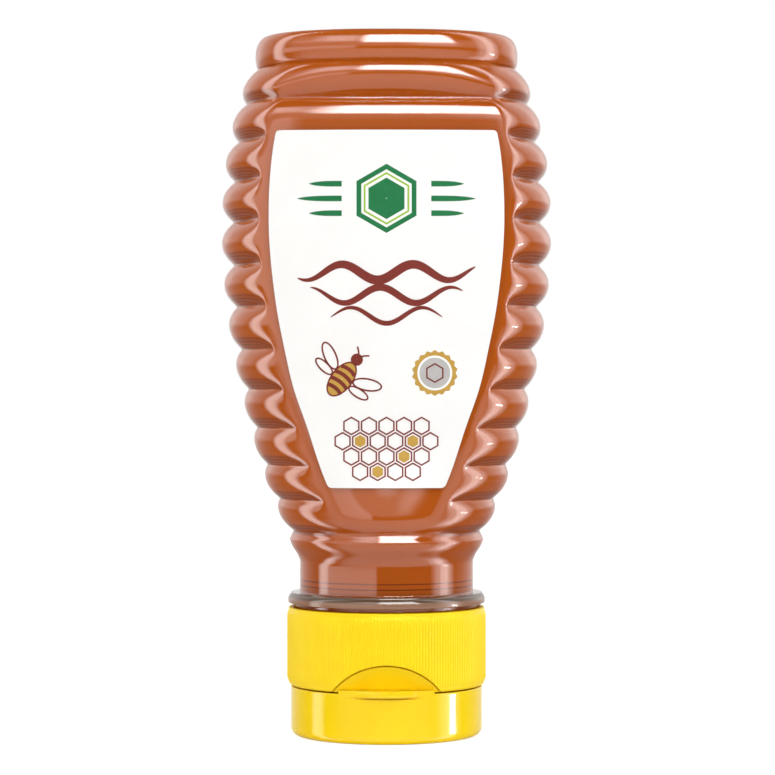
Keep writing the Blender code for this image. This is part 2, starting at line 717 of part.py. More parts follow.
def knurl_band():
    """The ring of fine upright ribs round the skirt, as a body that is joined to it."""
    low = SKIRT_BOTTOM + CAP_FOOT_ROUNDING + KNURL_MARGIN_BOTTOM
    high = SKIRT_TOP - CAP_RIM_ROUNDING - KNURL_MARGIN_TOP
    bm = bmesh.new()
    edges = []
    valley = CAP_RADIUS + KNURL_LIFT
    for radii in ((valley, valley + KNURL_DEPTH), (CAP_RADIUS - KNURL_EMBED,) * 2):
        count = KNURL_RIBS * 2
        ring = []
        for index in range(count):
            angle = 2 * math.pi * (index + KNURL_TURN_SHARE) / count
            radius = radii[index % 2]
            ring.append(bm.verts.new((radius * math.cos(angle), radius * math.sin(angle), low)))
        edges += [bm.edges.new((ring[index - 1], ring[index])) for index in range(count)]
    faces = bmesh.ops.bridge_loops(bm, edges=edges)["faces"]
    moved = bmesh.ops.extrude_face_region(bm, geom=faces)["geom"]
    tops = [item for item in moved if isinstance(item, bmesh.types.BMVert)]
    bmesh.ops.translate(bm, vec=(0, 0, high - low), verts=tops)
    return add_object("knurl_band", bm, None)


def chord_block(name, radius, chord, low, high, back=False):
    """The part of a disc that lies beyond a straight chord, at the front or the back."""
    half = math.acos(chord / radius)
    middle = math.pi / 2 if back else -math.pi / 2
    outline = []
    for step in range(2 * FILLET_STEPS + 1):
        angle = middle - half + 2 * half * step / (2 * FILLET_STEPS)
        outline.append((radius * math.cos(angle), radius * math.sin(angle), 0))
    return prism(name, outline, (0, 0, low), (0, 0, high))


def scoop_depth_line(z):
    """Distance from the axis to the scoop's floor at a height, so that its edge is an arch."""
    rise = max(z - (SKIRT_BOTTOM + SCOOP_HEIGHT - SCOOP_ARCH_RADIUS), 0.0)
    half_chord = max(SCOOP_ARCH_RADIUS**2 - rise**2, 0.0)
    return math.sqrt(CAP_RADIUS**2 - half_chord) - SCOOP_STEP


def scoop_cutter():
    """The thumb scoop: an arch pushed in along Y, as far as a floor that leans out upwards."""
    middle = SKIRT_BOTTOM + SCOOP_HEIGHT - SCOOP_ARCH_RADIUS
    low = SKIRT_BOTTOM - CUT_OVERRUN
    side = math.acos((low - middle) / SCOOP_ARCH_RADIUS)
    arch = []
    for step in range(ARCH_STEPS + 1):
        angle = side * (2 * step / ARCH_STEPS - 1)
        x = SCOOP_ARCH_RADIUS * math.sin(angle)
        arch.append((x, 0, middle + SCOOP_ARCH_RADIUS * math.cos(angle)))
    front = -(CAP_RADIUS + CUT_OVERRUN)
    cutter = prism("scoop_arch", arch, (0, front, 0), (0, 0, 0))
    top = SKIRT_BOTTOM + SCOOP_HEIGHT + CUT_OVERRUN
    wedge = [(0, front - CUT_OVERRUN, top), (0, front - CUT_OVERRUN, low - CUT_OVERRUN)]
    wedge.append((0, -SCOOP_FLOOR, low - CUT_OVERRUN))
    for step in range(FILLET_STEPS + 1):
        z = SKIRT_BOTTOM + SCOOP_HEIGHT * step / FILLET_STEPS
        wedge.append((0, -scoop_depth_line(z), z))
    wedge.append((0, -scoop_depth_line(top), top))
    reach = CAP_RADIUS + CUT_OVERRUN
    combine(cutter, prism("scoop_wedge", wedge, (-reach, 0, 0), (reach, 0, 0)), "INTERSECT")
    return cutter


def hinge_recess():
    """The notch at the back of the skirt that the film hinge lies in."""
    half = HINGE_WIDTH / 2 + FIT_GAP
    top = SKIRT_BOTTOM + HINGE_WING + FIT_GAP
    low = (-half, HINGE_PAD_FACE, SKIRT_BOTTOM - CUT_OVERRUN)
    high = (half, CAP_RADIUS + CUT_OVERRUN, top + CUT_OVERRUN)
    return block("hinge_recess", low, high)


def make_cap_base(material):
    """The threaded skirt with its deck, spout, plug seal, thumb scoop and hinge recess."""
    base = turned("cap_base", cap_base_profile(), material)
    combine(base, knurl_band(), "UNION")
    middle = SKIRT_INNER_RADIUS + SKIRT_WALL / 4
    low = SKIRT_BOTTOM + DECK_THICKNESS / 2
    scoop_back = SCOOP_FLOOR - SCOOP_WALL
    high = NECK_RIM - FIT_GAP
    combine(base, chord_block("scoop_backing", middle, scoop_back, low, high), "UNION")
    recess_back = LID_RADIUS - HINGE_BACKING
    high = SKIRT_BOTTOM + HINGE_WING + FIT_GAP + CUT_OVERRUN + HINGE_BACKING / 2
    backing = chord_block("recess_backing", middle, recess_back, low, high, back=True)
    combine(base, backing, "UNION")
    start = THREAD_BOTTOM - THREAD_LEAD * (1 - THREAD_OFFSET_SHARE)
    crest = FINISH_RADIUS + THREAD_GAP
    turns = THREAD_TURNS * CAP_THREAD_SHARE
    thread = helix_ridge("cap_thread", SKIRT_INNER_RADIUS, crest, start, turns)
    combine(base, thread, "UNION")
    combine(base, scoop_cutter(), "DIFFERENCE")
    combine(base, hinge_recess(), "DIFFERENCE")
    return base


def lid_profile():
    """Radius and height pairs of the lid, from its outer middle round to its inner nub."""
    inner = LID_RADIUS - LID_WALL
    fillet = quarter_round(LID_RADIUS, 0, LID_FILLET)
    chamfer = LID_RIM_CHAMFER
    wall = [
        (LID_RADIUS, LID_HEIGHT - chamfer),
        (LID_RADIUS - chamfer, LID_HEIGHT),
        (inner, LID_HEIGHT),
        (inner, LID_PLATE + LID_FILLET / 2),
        (inner - LID_FILLET / 2, LID_PLATE),
    ]
    seal_inner = WELL_OUTER_RADIUS + SEAL_GAP
    seal_outer = seal_inner + SEAL_WALL
    seal_top = SPOUT_BOTTOM + SEAL_OVERLAP
    seal = [
        (seal_outer, LID_PLATE),
        (seal_outer, seal_top - chamfer),
        (seal_outer - chamfer, seal_top),
        (seal_inner, seal_top),
        (seal_inner, LID_PLATE),
    ]
    nub_radius = HEAD_RADIUS - NUB_GAP
    nub_top = SLEEVE_BOTTOM - NUB_GAP
    nub = [
        (nub_radius, LID_PLATE),
        (nub_radius, nub_top - chamfer),
        (nub_radius - chamfer, nub_top),
        (0.0, nub_top),
    ]
    return [(0.0, 0.0)] + fillet + wall + seal + nub


def thumb_lip():
    """The crescent on the front of the lid that a thumb pushes, which stands up into the scoop."""
    outline = []
    inside = LID_RADIUS - LID_WALL / 2
    for step in range(2 * FILLET_STEPS + 1):
        share = step / FILLET_STEPS - 1
        x = LIP_HALF_WIDTH * share
        reach = (LIP_REACH + LID_WALL / 2) * (1 - share**2)
        outline.append((x, -(math.sqrt(inside**2 - x * x) + reach), 0))
    for step in range(2 * FILLET_STEPS - 1, 0, -1):
        x = LIP_HALF_WIDTH * (step / FILLET_STEPS - 1)
        outline.append((x, -math.sqrt(inside**2 - x * x), 0))
    top = LID_HEIGHT + LIP_LIFT
    return prism("thumb_lip", outline, (0, 0, top - LIP_HEIGHT), (0, 0, top))


def make_flip_lid(material):
    """The lid with its seal ring, nub, front shelf, thumb lip and hinge pad."""
    lid = turned("flip_lid", lid_profile(), material, closed=False)
    middle = LID_RADIUS - LID_WALL / 2
    shelf_back = SCOOP_FLOOR - SHELF_WIDTH
    top = LID_HEIGHT - SHELF_DROP
    shelf = chord_block("lid_shelf", middle, shelf_back, top - SHELF_THICKNESS, top)
    combine(lid, shelf, "UNION")
    combine(lid, thumb_lip(), "UNION")
    half = HINGE_WIDTH / 2 + HINGE_PAD_MARGIN
    root = LID_RADIUS - LID_WALL - HINGE_PAD_ROOT
    low = (-half, root, LID_HEIGHT - HINGE_WING - HINGE_PAD_MARGIN)
    high = (half, HINGE_PAD_FACE, LID_HEIGHT - PAD_DROP)
    combine(lid, block("hinge_pad", low, high), "UNION")
    return lid


def make_hinge(material):
    """The film hinge, folded over the parting line with a small bulge at the back."""
    thick = HINGE_THICKNESS
    bend = PARTING_GAP / 2 + HINGE_BULGE + thick
    inner = []
    outer = []
    for share, out in HINGE_BULGE_SHARES:
        z = HINGE_AXIS_Z + bend * share
        y = HINGE_FACE + HINGE_BULGE * out
        inner.append((0, y, z))
        outer.append((0, y + thick, z))
    foot = HINGE_AXIS_Z - PARTING_GAP / 2 - HINGE_WING
    head = HINGE_AXIS_Z + PARTING_GAP / 2 + HINGE_WING
    inner = [(0, HINGE_FACE, foot)] + inner + [(0, HINGE_FACE, head)]
    outer = [(0, HINGE_FACE + thick, foot)] + outer + [(0, HINGE_FACE + thick, head)]
    half = HINGE_WIDTH / 2
    return prism("film_hinge", inner + outer[::-1], (-half, 0, 0), (half, 0, 0), material)


def make_valve(material):
    """The silicone valve: flange, sleeve and a domed head cut by a cross slit."""
    flange_top = VALVE_SEAT + VALVE_FLANGE_THICKNESS
    shares = [step / DOME_STEPS for step in range(DOME_STEPS + 1)]
    under = dome(HEAD_RADIUS, SLEEVE_BOTTOM, HEAD_RISE, shares)
    head_top = SLEEVE_BOTTOM + HEAD_THICKNESS
    over = dome(HEAD_RADIUS, head_top, HEAD_RISE, [HEAD_EDGE_SHARE] + shares[-2::-1])
    sleeve = [
        (SLEEVE_RADIUS, SLEEVE_BOTTOM + SLEEVE_WALL / 2),
        (SLEEVE_RADIUS, VALVE_SEAT),
        (INSERT_RADIUS, VALVE_SEAT),
        (INSERT_RADIUS, flange_top),
        (HEAD_RADIUS, flange_top),
        (HEAD_RADIUS, head_top + HEAD_RISE / 2),
    ]
    valve = turned("silicone_valve", under + sleeve + over, material, ROUND_STEPS, closed=False)
    low = SLEEVE_BOTTOM - CUT_OVERRUN
    high = SLEEVE_BOTTOM + HEAD_RISE + HEAD_THICKNESS + CUT_OVERRUN
    reach = HEAD_RADIUS * SLIT_SHARE
    for name, half_x, half_y in (
        ("slit_across", reach, SLIT_WIDTH / 2),
        ("slit_along", SLIT_WIDTH / 2, reach),
    ):
        cutter = block(name, (-half_x, -half_y, low), (half_x, half_y, high))
        combine(valve, cutter, "DIFFERENCE")
    return valve


def make_retainer(material):
    """The ring that snaps into the well over the valve's flange."""
    inner = INSERT_RADIUS - RETAINER_WALL
    chamfer = RETAINER_CHAMFER
    top = RETAINER_BOTTOM + RETAINER_HEIGHT
    profile = [
        (inner, RETAINER_BOTTOM),
        (INSERT_RADIUS - chamfer, RETAINER_BOTTOM),
        (INSERT_RADIUS, RETAINER_BOTTOM + chamfer),
        (INSERT_RADIUS, top - chamfer),
        (INSERT_RADIUS - chamfer, top),
        (inner + chamfer, top),
        (inner, top - chamfer),
    ]
    return turned("valve_retainer", profile, material, ROUND_STEPS)


def make_material(name, colour, roughness, transmission=0.0):
    """A plain principled material."""
    material = bpy.data.materials.new(name)
    material.use_nodes = True
    shader = material.node_tree.nodes["Principled BSDF"]
    shader.inputs["Base Color"].default_value = colour
    shader.inputs["Roughness"].default_value = roughness
    shader.inputs["Metallic"].default_value = 0.0
    shader.inputs["Transmission Weight"].default_value = transmission
    material.diffuse_color = colour
    return material


def add_axis(name, place, parent=None):
    """An empty on a joint's axis."""
    axis = bpy.data.objects.new(name, None)
    bpy.context.scene.collection.objects.link(axis)
    axis.location = place
    axis.parent = parent
    return axis


def main():
    for obj in list(bpy.data.objects):
        bpy.data.objects.remove(obj, do_unlink=True)
    yellow = make_material("yellow_cap_plastic", CAP_COLOUR, 0.32)
    make_bottle_shell(make_material("clear_bottle_plastic", PET_COLOUR, 0.06, 0.9))
    make_honey(make_material("honey", HONEY_COLOUR, 0.10))
    make_label(make_material("label_film", LABEL_COLOUR, 0.35))
    cap_axis = add_axis("cap_axis", (0, 0, 0))
    for piece in (
        make_cap_base(yellow),
        make_valve(make_material("silicone", VALVE_COLOUR, 0.45)),
        make_retainer(make_material("retainer_plastic", RETAINER_COLOUR, 0.35)),
    ):
        piece.parent = cap_axis
    place = Vector((0, HINGE_AXIS_Y, HINGE_AXIS_Z))
    lid_axis = add_axis("lid_axis", place, cap_axis)
    for piece in (make_flip_lid(yellow), make_hinge(yellow)):
        piece.parent = lid_axis
        piece.location = -place


main()
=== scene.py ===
"""The honey squeeze bottle as it looks: ribbed clear shell, honey, printed label, yellow flip-top cap.

Lengths are in metres and +Z is up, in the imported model's frame. The bottle stands on its
cap, and its label faces -Y.
"""

import math

import bmesh
import bpy
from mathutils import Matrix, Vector


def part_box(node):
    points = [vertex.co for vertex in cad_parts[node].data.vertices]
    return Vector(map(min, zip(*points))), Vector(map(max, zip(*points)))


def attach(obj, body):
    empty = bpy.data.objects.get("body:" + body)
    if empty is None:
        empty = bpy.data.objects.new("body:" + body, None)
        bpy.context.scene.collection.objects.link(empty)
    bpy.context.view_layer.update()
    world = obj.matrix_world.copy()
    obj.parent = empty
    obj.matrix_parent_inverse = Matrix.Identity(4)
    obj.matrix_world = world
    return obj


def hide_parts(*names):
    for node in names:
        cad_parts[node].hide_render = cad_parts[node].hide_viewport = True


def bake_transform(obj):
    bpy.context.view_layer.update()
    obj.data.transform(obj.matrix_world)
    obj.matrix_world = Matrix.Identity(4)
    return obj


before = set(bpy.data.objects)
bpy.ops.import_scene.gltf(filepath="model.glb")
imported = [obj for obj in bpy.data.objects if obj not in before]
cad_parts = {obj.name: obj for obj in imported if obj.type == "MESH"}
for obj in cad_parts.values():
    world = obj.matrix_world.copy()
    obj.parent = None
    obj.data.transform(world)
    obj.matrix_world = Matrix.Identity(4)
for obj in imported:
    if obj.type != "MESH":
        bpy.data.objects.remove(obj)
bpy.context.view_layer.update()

SHELL_LOW, SHELL_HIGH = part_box("bottle_shell")
CAP_LOW, CAP_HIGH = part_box("cap_base")
LID_LOW, LID_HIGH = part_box("flip_lid")
LABEL_LOW, LABEL_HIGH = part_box("front_label")
HINGE_LOW, HINGE_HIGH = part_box("film_hinge")
VALVE_LOW, VALVE_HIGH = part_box("silicone_valve")

# Heights of the stack
FOOT_HEIGHT = 0.0062
RIBBED_HEIGHT = 0.0933
SHOULDER_HEIGHT = 0.0061
NECK_LENGTH = 0.0063
FLANGE_THICKNESS = 0.0022
PARTING_GAP = 0.0003

# Blown body
BODY_HALF_WIDTH = 0.0334
FOOT_HALF_DEPTH = 0.0202
PANEL_HALF_DEPTH = 0.0183
PANEL_RADIUS = 0.200
EDGE_SOFTENING = 0.0003
PANEL_BLEND_LOW = 0.018
PANEL_BLEND_HIGH = 0.009
FOOT_CORNER = 0.0036
FOOT_CORNER_REACH = 0.0020
FOOT_RIM_WIDTH = 0.0035
PUSH_UP_DEPTH = 0.0020
PUSH_UP_SLOPE = 0.0040
GROOVE_DEPTH = 0.0023
BODY_WALL = 0.0007
HONEY_OVERLAP = 0.0001

# Neck, flange and thread
FINISH_RADIUS = 0.0173
NECK_WALL = 0.0013
NECK_RADIUS = 0.0176
# Painted dark lines round the neck, drawn into the honey's colour: their rises over the flange, half
# height and ring places
NECK_LINE_RISES = (0.0014, 0.0025)
NECK_LINE_HEIGHT = 0.00022
NECK_LINE_SHARES = (-1, -0.5, 0.5, 1)
SHOULDER_RADIUS = 0.02037
SHOULDER_SWELL = 0.00205
FLANGE_RADIUS = 0.0200
FLANGE_ROUNDING = 0.0004
FLANGE_CURVE = 0.0014
FLANGE_CURVE_START = 0.0008
FLANGE_CURVE_DEGREES = 55
RIM_CHAMFER = 0.0003
BEAD_RADIUS = 0.01855
BEAD_HEIGHT = 0.0012
THREAD_DEPTH = 0.0012
THREAD_LEAD = 0.00423
THREAD_START = 0.0022
THREAD_RISE = 0.0053
THREAD_ROOT_HALF = 0.0010
THREAD_CREST_HALF = 0.00045
THREAD_RING_PITCH = 0.00022
PLUG_REACH = 0.0018

# Label and its print
LABEL_INSET = 0.00185
LABEL_CORNER = 0.0007
LABEL_BACK = -0.00002
LABEL_FRONT = 0.00010
INK_BACK = 0.00008
INK_LOW = 0.000115
INK_MIDDLE = 0.00013
INK_HIGH = 0.000145

# Cap base
LID_STEP = 0.0005
SKIRT_WALL = 0.00105
CAP_RIM_ROUNDING = 0.0004
CAP_FOOT_ROUNDING = 0.0007
DECK_THICKNESS = 0.0016
PLUG_GAP = 0.0004
PLUG_WALL = 0.0010
KNURL_LIFT = 0.00028
KNURL_DEPTH = 0.00009
KNURL_MARGIN_TOP = 0.0006
KNURL_MARGIN_BOTTOM = 0.0004
KNURL_END = 0.00035
ORIFICE_RADIUS = 0.0050
WELL_LEDGE = 0.0018
WELL_WALL = 0.0012
WELL_RISE = 0.0020
LIP_THICKNESS = 0.0011
THREAD_GAP = 0.00035
THREAD_EMBED = 0.0003
SCOOP_HEIGHT = 0.0056
SCOOP_HALF_WIDTH = 0.0109
SCOOP_STEP = 0.00025
SCOOP_WALL = 0.0015
SEAM_WIDTH = 0.00036
SEAM_DEPTH = 0.0009
CUT_OVERRUN = 0.0010
RADIUS_MARGIN = 0.000004
FIT_GAP = 0.0003

# Flip lid
LID_WALL = 0.0012
LID_PLATE = 0.0014
LID_FILLET = 0.0016
LID_RIM_ROUNDING = 0.0002
LID_ROW_MARGIN = 0.0001
SEAL_GAP = 0.00035
SEAL_WALL = 0.0010
SEAL_OVERLAP = 0.0011
NUB_GAP = 0.0004
SHELF_THICKNESS = 0.0013
SHELF_WIDTH = 0.0010
SHELF_DROP = 0.00015
LIP_REACH = 0.0011
LIP_HALF_WIDTH = 0.0075
LIP_HEIGHT = 0.0012
LIP_LIFT = 0.0007
LIP_ROUNDING = 0.00025
LEDGE_SINK = 0.00002
LEDGE_GAP = 0.0005
LIP_SHADOW_HEIGHT = 0.00045
LIP_SHADOW_DEPTH = 0.0009
PAD_DROP = 0.0003

# Film hinge
HINGE_THICKNESS = 0.00045
HINGE_BULGE = 0.00025
HINGE_PAD_MARGIN = 0.0008
HINGE_PAD_ROOT = 0.0002
HINGE_BACKING = 0.0014
HINGE_FOLD_POWER = 1.5

# Valve
VALVE_FLANGE_THICKNESS = 0.0010
SLEEVE_GAP = 0.0004
SLEEVE_WALL = 0.0007
HEAD_THICKNESS = 0.0008
HEAD_RISE = 0.0011
SLIT_WIDTH = 0.00012
HEAD_TOP_SHARE = 0.95
SLIT_SHARE = 0.64

# Shares of the ribbed height at which the grooves lie, from the neck to the foot
GROOVE_SHARES = (
    0.0, 0.070, 0.144, 0.224, 0.307, 0.393, 0.485,
    0.575, 0.668, 0.756, 0.842, 0.924, 1.0,
)
# (share of the ribbed height, share of the deepest groove's depth)
DEPTH_SHARES = (
    (0.0, 0.62), (0.14, 0.58), (0.30, 0.66), (0.48, 0.88), (0.66, 1.0), (0.84, 0.84), (1.0, 0.62),
)
FULL_ROUND_GROOVES = (0, 11, 12)
RIB_ROUNDNESS_SHARE = 0.72
GROOVE_ROUNDING_SHARE = 0.05
# (share of the ribbed height, share of the swell from the neck end to the widest rib)
OUTLINE_SHARES = (
    (0.0, 0.0), (0.116, 0.335), (0.274, 0.652), (0.445, 0.892),
    (0.624, 1.0), (0.800, 0.938), (0.927, 0.744), (1.0, 0.539),
)
# (share of the ribbed height, share of the crest half width) of the flat panel's edge
PANEL_SHARES = (
    (0.0, 0.50), (0.065, 0.525), (0.139, 0.581), (0.224, 0.627), (0.307, 0.679),
    (0.400, 0.705), (0.489, 0.727), (0.670, 0.750), (0.842, 0.743), (1.0, 0.70),
)
PANEL_CROWDING_SHARE = 0.6
CHEEK_POWER_SHARE = 2.2
FOOT_POWER_SHARE = 2.35
FOOT_SHARE = 0.796
GROOVE_RAMP_SHARE = 0.42
GROOVE_RAMP_POWER = 2.5
# Strength of the painted groove shade and highlights at the neck end; it grows to full strength at the
# foot
PAINTED_GROOVE_LIGHT_SHARE = 0.72
# Place on the painted shade and highlight tints for the painted dark lines round the neck
NECK_LINE_PAINTED_SHADE = 0.93
# (share of the shoulder's height, share of its swell) from the neck up to the first groove
SHOULDER_SHARES = (
    (0.0, 0.0), (0.20, 0.24), (0.47, 0.745), (0.60, 0.92), (0.73, 1.0), (0.87, 0.84),
)
THREAD_FADE_SHARE = 1 / 6
CAP_THREAD_TURNS = 1.5
CAP_THREAD_OFFSET_SHARE = 0.45

# A corner's curve starts at most this share of an edge away from it
CORNER_LIMIT_SHARE = 0.4

# Angles from which an edge is left sharp
SHARP_DEGREES = 30
BLOWN_SHARP_DEGREES = 60

# Counts
PANEL_COLUMNS = 14
CHEEK_COLUMNS = 26
OUTER_RINGS = 14
INNER_RINGS = 6
HONEY_RINGS = 16
SHOULDER_RINGS = 18
FOOT_RINGS = 12
KNURL_RIBS = 196
COLUMNS_PER_RIB = 6
KNURL_ROWS = 8
TURN_STEPS = 144
ARCH_STEPS = 48
FILLET_STEPS = 10
CORNER_STEPS = 4
CAP_CORNER_STEPS = 3
BEVEL_STEPS = 3
HINGE_STEPS = 16
LABEL_COLUMNS = 40
LABEL_ROWS = 64
INK_RING_STEPS = 72
CREST_BAR_STEPS = 12
WAVE_STEPS = 96
STRIPE_STEPS = 4

# Heights worked out from the frame
BOTTLE_TOP = SHELL_HIGH.z
NECK_RIM = SHELL_LOW.z
RIBS_TOP = BOTTLE_TOP - FOOT_HEIGHT
RIBS_BOTTOM = RIBS_TOP - RIBBED_HEIGHT
NECK_TOP = RIBS_BOTTOM - SHOULDER_HEIGHT
FLANGE_TOP = NECK_TOP - NECK_LENGTH
FLANGE_BOTTOM = FLANGE_TOP - FLANGE_THICKNESS
PLUG_TOP = NECK_RIM + PLUG_REACH
LABEL_BOTTOM = LABEL_LOW.z
LABEL_TOP = LABEL_HIGH.z
SKIRT_TOP = CAP_HIGH.z
SPOUT_BOTTOM = CAP_LOW.z
LID_HEIGHT = LID_HIGH.z - LIP_LIFT
SKIRT_BOTTOM = LID_HEIGHT + PARTING_GAP
DECK_TOP = SKIRT_BOTTOM + DECK_THICKNESS
LIP_TOP = SPOUT_BOTTOM + LIP_THICKNESS
LID_RADIUS = LID_HIGH.x
CAP_RADIUS = LID_RADIUS + LID_STEP
SKIRT_INNER_RADIUS = CAP_RADIUS - SKIRT_WALL
BORE_RADIUS = FINISH_RADIUS - NECK_WALL
PLUG_RADIUS = BORE_RADIUS - PLUG_GAP
WELL_RADIUS = ORIFICE_RADIUS + WELL_LEDGE
WELL_OUTER_RADIUS = WELL_RADIUS + WELL_WALL
SCOOP_ARCH_RADIUS = (SCOOP_HALF_WIDTH**2 + SCOOP_HEIGHT**2) / (2 * SCOOP_HEIGHT)
SCOOP_FLOOR = math.sqrt(CAP_RADIUS**2 - SCOOP_HALF_WIDTH**2) - SCOOP_STEP
HINGE_FACE = HINGE_LOW.y
HINGE_PAD_FACE = HINGE_FACE - FIT_GAP
HINGE_AXIS_Z = LID_HEIGHT + PARTING_GAP / 2

# Colours, linear
AMBER = (0.47, 0.098, 0.007, 1)
DEEP_AMBER = (0.43, 0.086, 0.006, 1)
YELLOW = (0.99, 0.73, 0.006, 1)
DEEP_YELLOW = (0.98, 0.70, 0.005, 1)
FILM_WHITE = (0.94, 0.94, 0.935, 1)
FILM_SHADE = (0.92, 0.92, 0.915, 1)
GREEN = (0.012, 0.145, 0.048, 1)
LEAF_GREEN = (0.36, 0.56, 0.06, 1)
BROWN_RED = (0.165, 0.026, 0.018, 1)
GOLD = (0.56, 0.34, 0.07, 1)
SILVER = (0.52, 0.51, 0.50, 1)
CLEAR = (0.97, 0.94, 0.92, 1)
FLANGE_TINT = (0.36, 0.20, 0.125, 1)
# Painted shade that darkens the flange towards its top face
FLANGE_PAINTED_SHADE = (0.12, 0.075, 0.045, 1)
FLOOR_TONE = (0.9, 0.9, 0.9, 1)
SILICONE = (0.84, 0.84, 0.82, 1)
RETAINER = (0.80, 0.80, 0.78, 1)
WHITE = (1, 1, 1, 1)

# (place from the groove below a rib, over its crest at a half, to the groove above it; tint) of the
# painted shade and painted highlight lines multiplied into the honey's colour over each rib: dark bands
# by the grooves, pale lines where light would gleam
PAINTED_GROOVE_LIGHT_TINTS = (
    (0.0, (0.40, 0.36, 0.6)),
    (0.05, (0.55, 0.55, 1.2)),
    (0.11, (0.95, 1.05, 2.6)),
    (0.15, (0.50, 0.46, 1.0)),
    (0.20, (0.92, 1.0, 2.4)),
    (0.245, (0.48, 0.44, 0.9)),
    (0.29, (0.86, 0.9, 2.0)),
    (0.335, (0.50, 0.46, 0.9)),
    (0.375, (0.84, 0.84, 1.6)),
    (0.41, (0.60, 0.55, 0.9)),
    (0.435, (1.0, 1.0, 1.0)),
    (0.76, (1.0, 1.0, 1.0)),
    (0.83, (1.25, 1.6, 4.5)),
    (0.90, (0.50, 0.45, 0.8)),
    (1.0, (0.40, 0.35, 0.6)),
)
# (place from the flange's lower to its upper face; colour): its brown below, going into painted shade at
# the top
FLANGE_TONES_WITH_PAINTED_SHADE = ((0.45, FLANGE_TINT), (0.80, FLANGE_PAINTED_SHADE))
FLANGE_CLOUD_SCALE = 300
FLANGE_CLOUD_SHARE = 0.2

# Finishes: the colours drift between two tones, of which the darker is a share of the lighter
INK_SHADE_SHARE = 0.92
MILKY_SHADE_SHARE = 0.96
PLASTIC_IOR = 1.5
NOISE_DETAIL = 3.0
GRAIN_DETAIL = 2.0
MOTTLE_LOW = 0.35
MOTTLE_HIGH = 0.65
BLOWN_RELIEF = 0.0004
PEEL_RELIEF = 0.0001
FILM_RELIEF = 0.00005
MILKY_DEPTH = 0.001

# Layout of the label's print, from the label's top or bottom
CREST_DROP = 0.0135
CREST_RADIUS = 0.0068
# Shares of that radius: the rim's outside and inside, the line's outside and inside, the heart
CREST_SHARES = (1.0, 0.84, 0.76, 0.70, 0.60)
CREST_BAR_START = 0.0088
# (place over the crest's middle, end) of each bar
CREST_BARS = ((0.0029, 0.0152), (0.0, 0.0175), (-0.0029, 0.0152))
CREST_BAR_HALF = 0.00055
CREST_BAR_TAPER_SHARE = 0.9
# (drop, reach to each side, half width) of each wave
WAVES = ((0.0280, 0.0175, 0.00085), (0.0325, 0.0150, 0.00065), (0.0365, 0.0110, 0.00045))
WAVE_SWING = 0.00155
WAVE_LENGTH = 0.0140
WAVE_END_SHARE = 0.08
WAVE_FULLNESS = 0.6
SEAL_PLACE = (0.0095, 0.0478)
SEAL_RADIUS = 0.0043
# Shares of that radius: the band's inside, the silver heart, the hexagon's outside and inside
SEAL_SHARES = (0.80, 0.70, 0.46, 0.38)
SEAL_SCALLOPS = 18
SCALLOP_SHARE = 0.05
BEE_PLACE = (-0.0088, 0.0490)
BEE_TURN_DEGREES = 38
BEE_LENGTH = 0.0040
BEE_WIDTH = 0.0022
# Shares of that length and width: the rim's outside and inside, and the gold
BEE_SHARES = ((1.0, 1.0), (0.92, 0.86), (0.94, 0.92))
BEE_HEAD = 0.0012
BEE_HEAD_SHARE = 0.7
BEE_STRIPES = (-0.0021, -0.0006, 0.0009, 0.0024)
BEE_STRIPE_HALF = 0.00038
BEE_STRIPE_SHARE = 0.92
# (place of the root, turn from the bee's line in degrees, half length, half width) of each wing
BEE_WINGS = ((0.0008, -62, 0.0030, 0.0013), (-0.0004, -84, 0.0023, 0.0010))
BEE_WING_ROOT_SHARE = 0.9
BEE_FEELER = 0.0021
BEE_FEELER_SHARES = (0.3, 0.5, 0.7, 0.85, 1.0)
BEE_FEELER_SPREAD_SHARE = 0.7
CELL_RADIUS = 0.00185
CELL_PITCH = 0.00345
CELL_STROKE = 0.00034
CELL_FILL_SHARE = 0.66
# (place over the label's bottom edge, number of cells) of each row
CELL_ROWS = ((0.0032, 4), (0.0062, 5), (0.0092, 6), (0.0122, 5))
# (row, place in the row) of each filled cell
FILLED_CELLS = ((0, 1), (1, 3), (2, 1), (2, 4))
FILL_SHARES = (1.0, 0.5, 0.02)

# Studio: soft lights that gloss reflects, a sky and lamps for matt surfaces
FLOOR_REACH = 3.0
FLOOR_THICKNESS = 0.02
FLOOR_GAP = 0.0001
FLOOR_GLOW = 0.62
# The sky eases from low to high over a span of a direction's Z
SKY_LOW = 0.07
SKY_HIGH = 0.70
SKY_SPAN = (-0.35, 0.8)
# What gloss sees between the lights: from front to back over a span of a direction's Y
GLOSS_FRONT = 0.12
GLOSS_BACK = 1.0
GLOSS_SPAN = (0.1, 1.0)
# It falls to this share towards the ground, between two elevations
GLOSS_GROUND = 0.25
GROUND_DEGREES = (-25, -3)
AIM_HEIGHT = 0.070
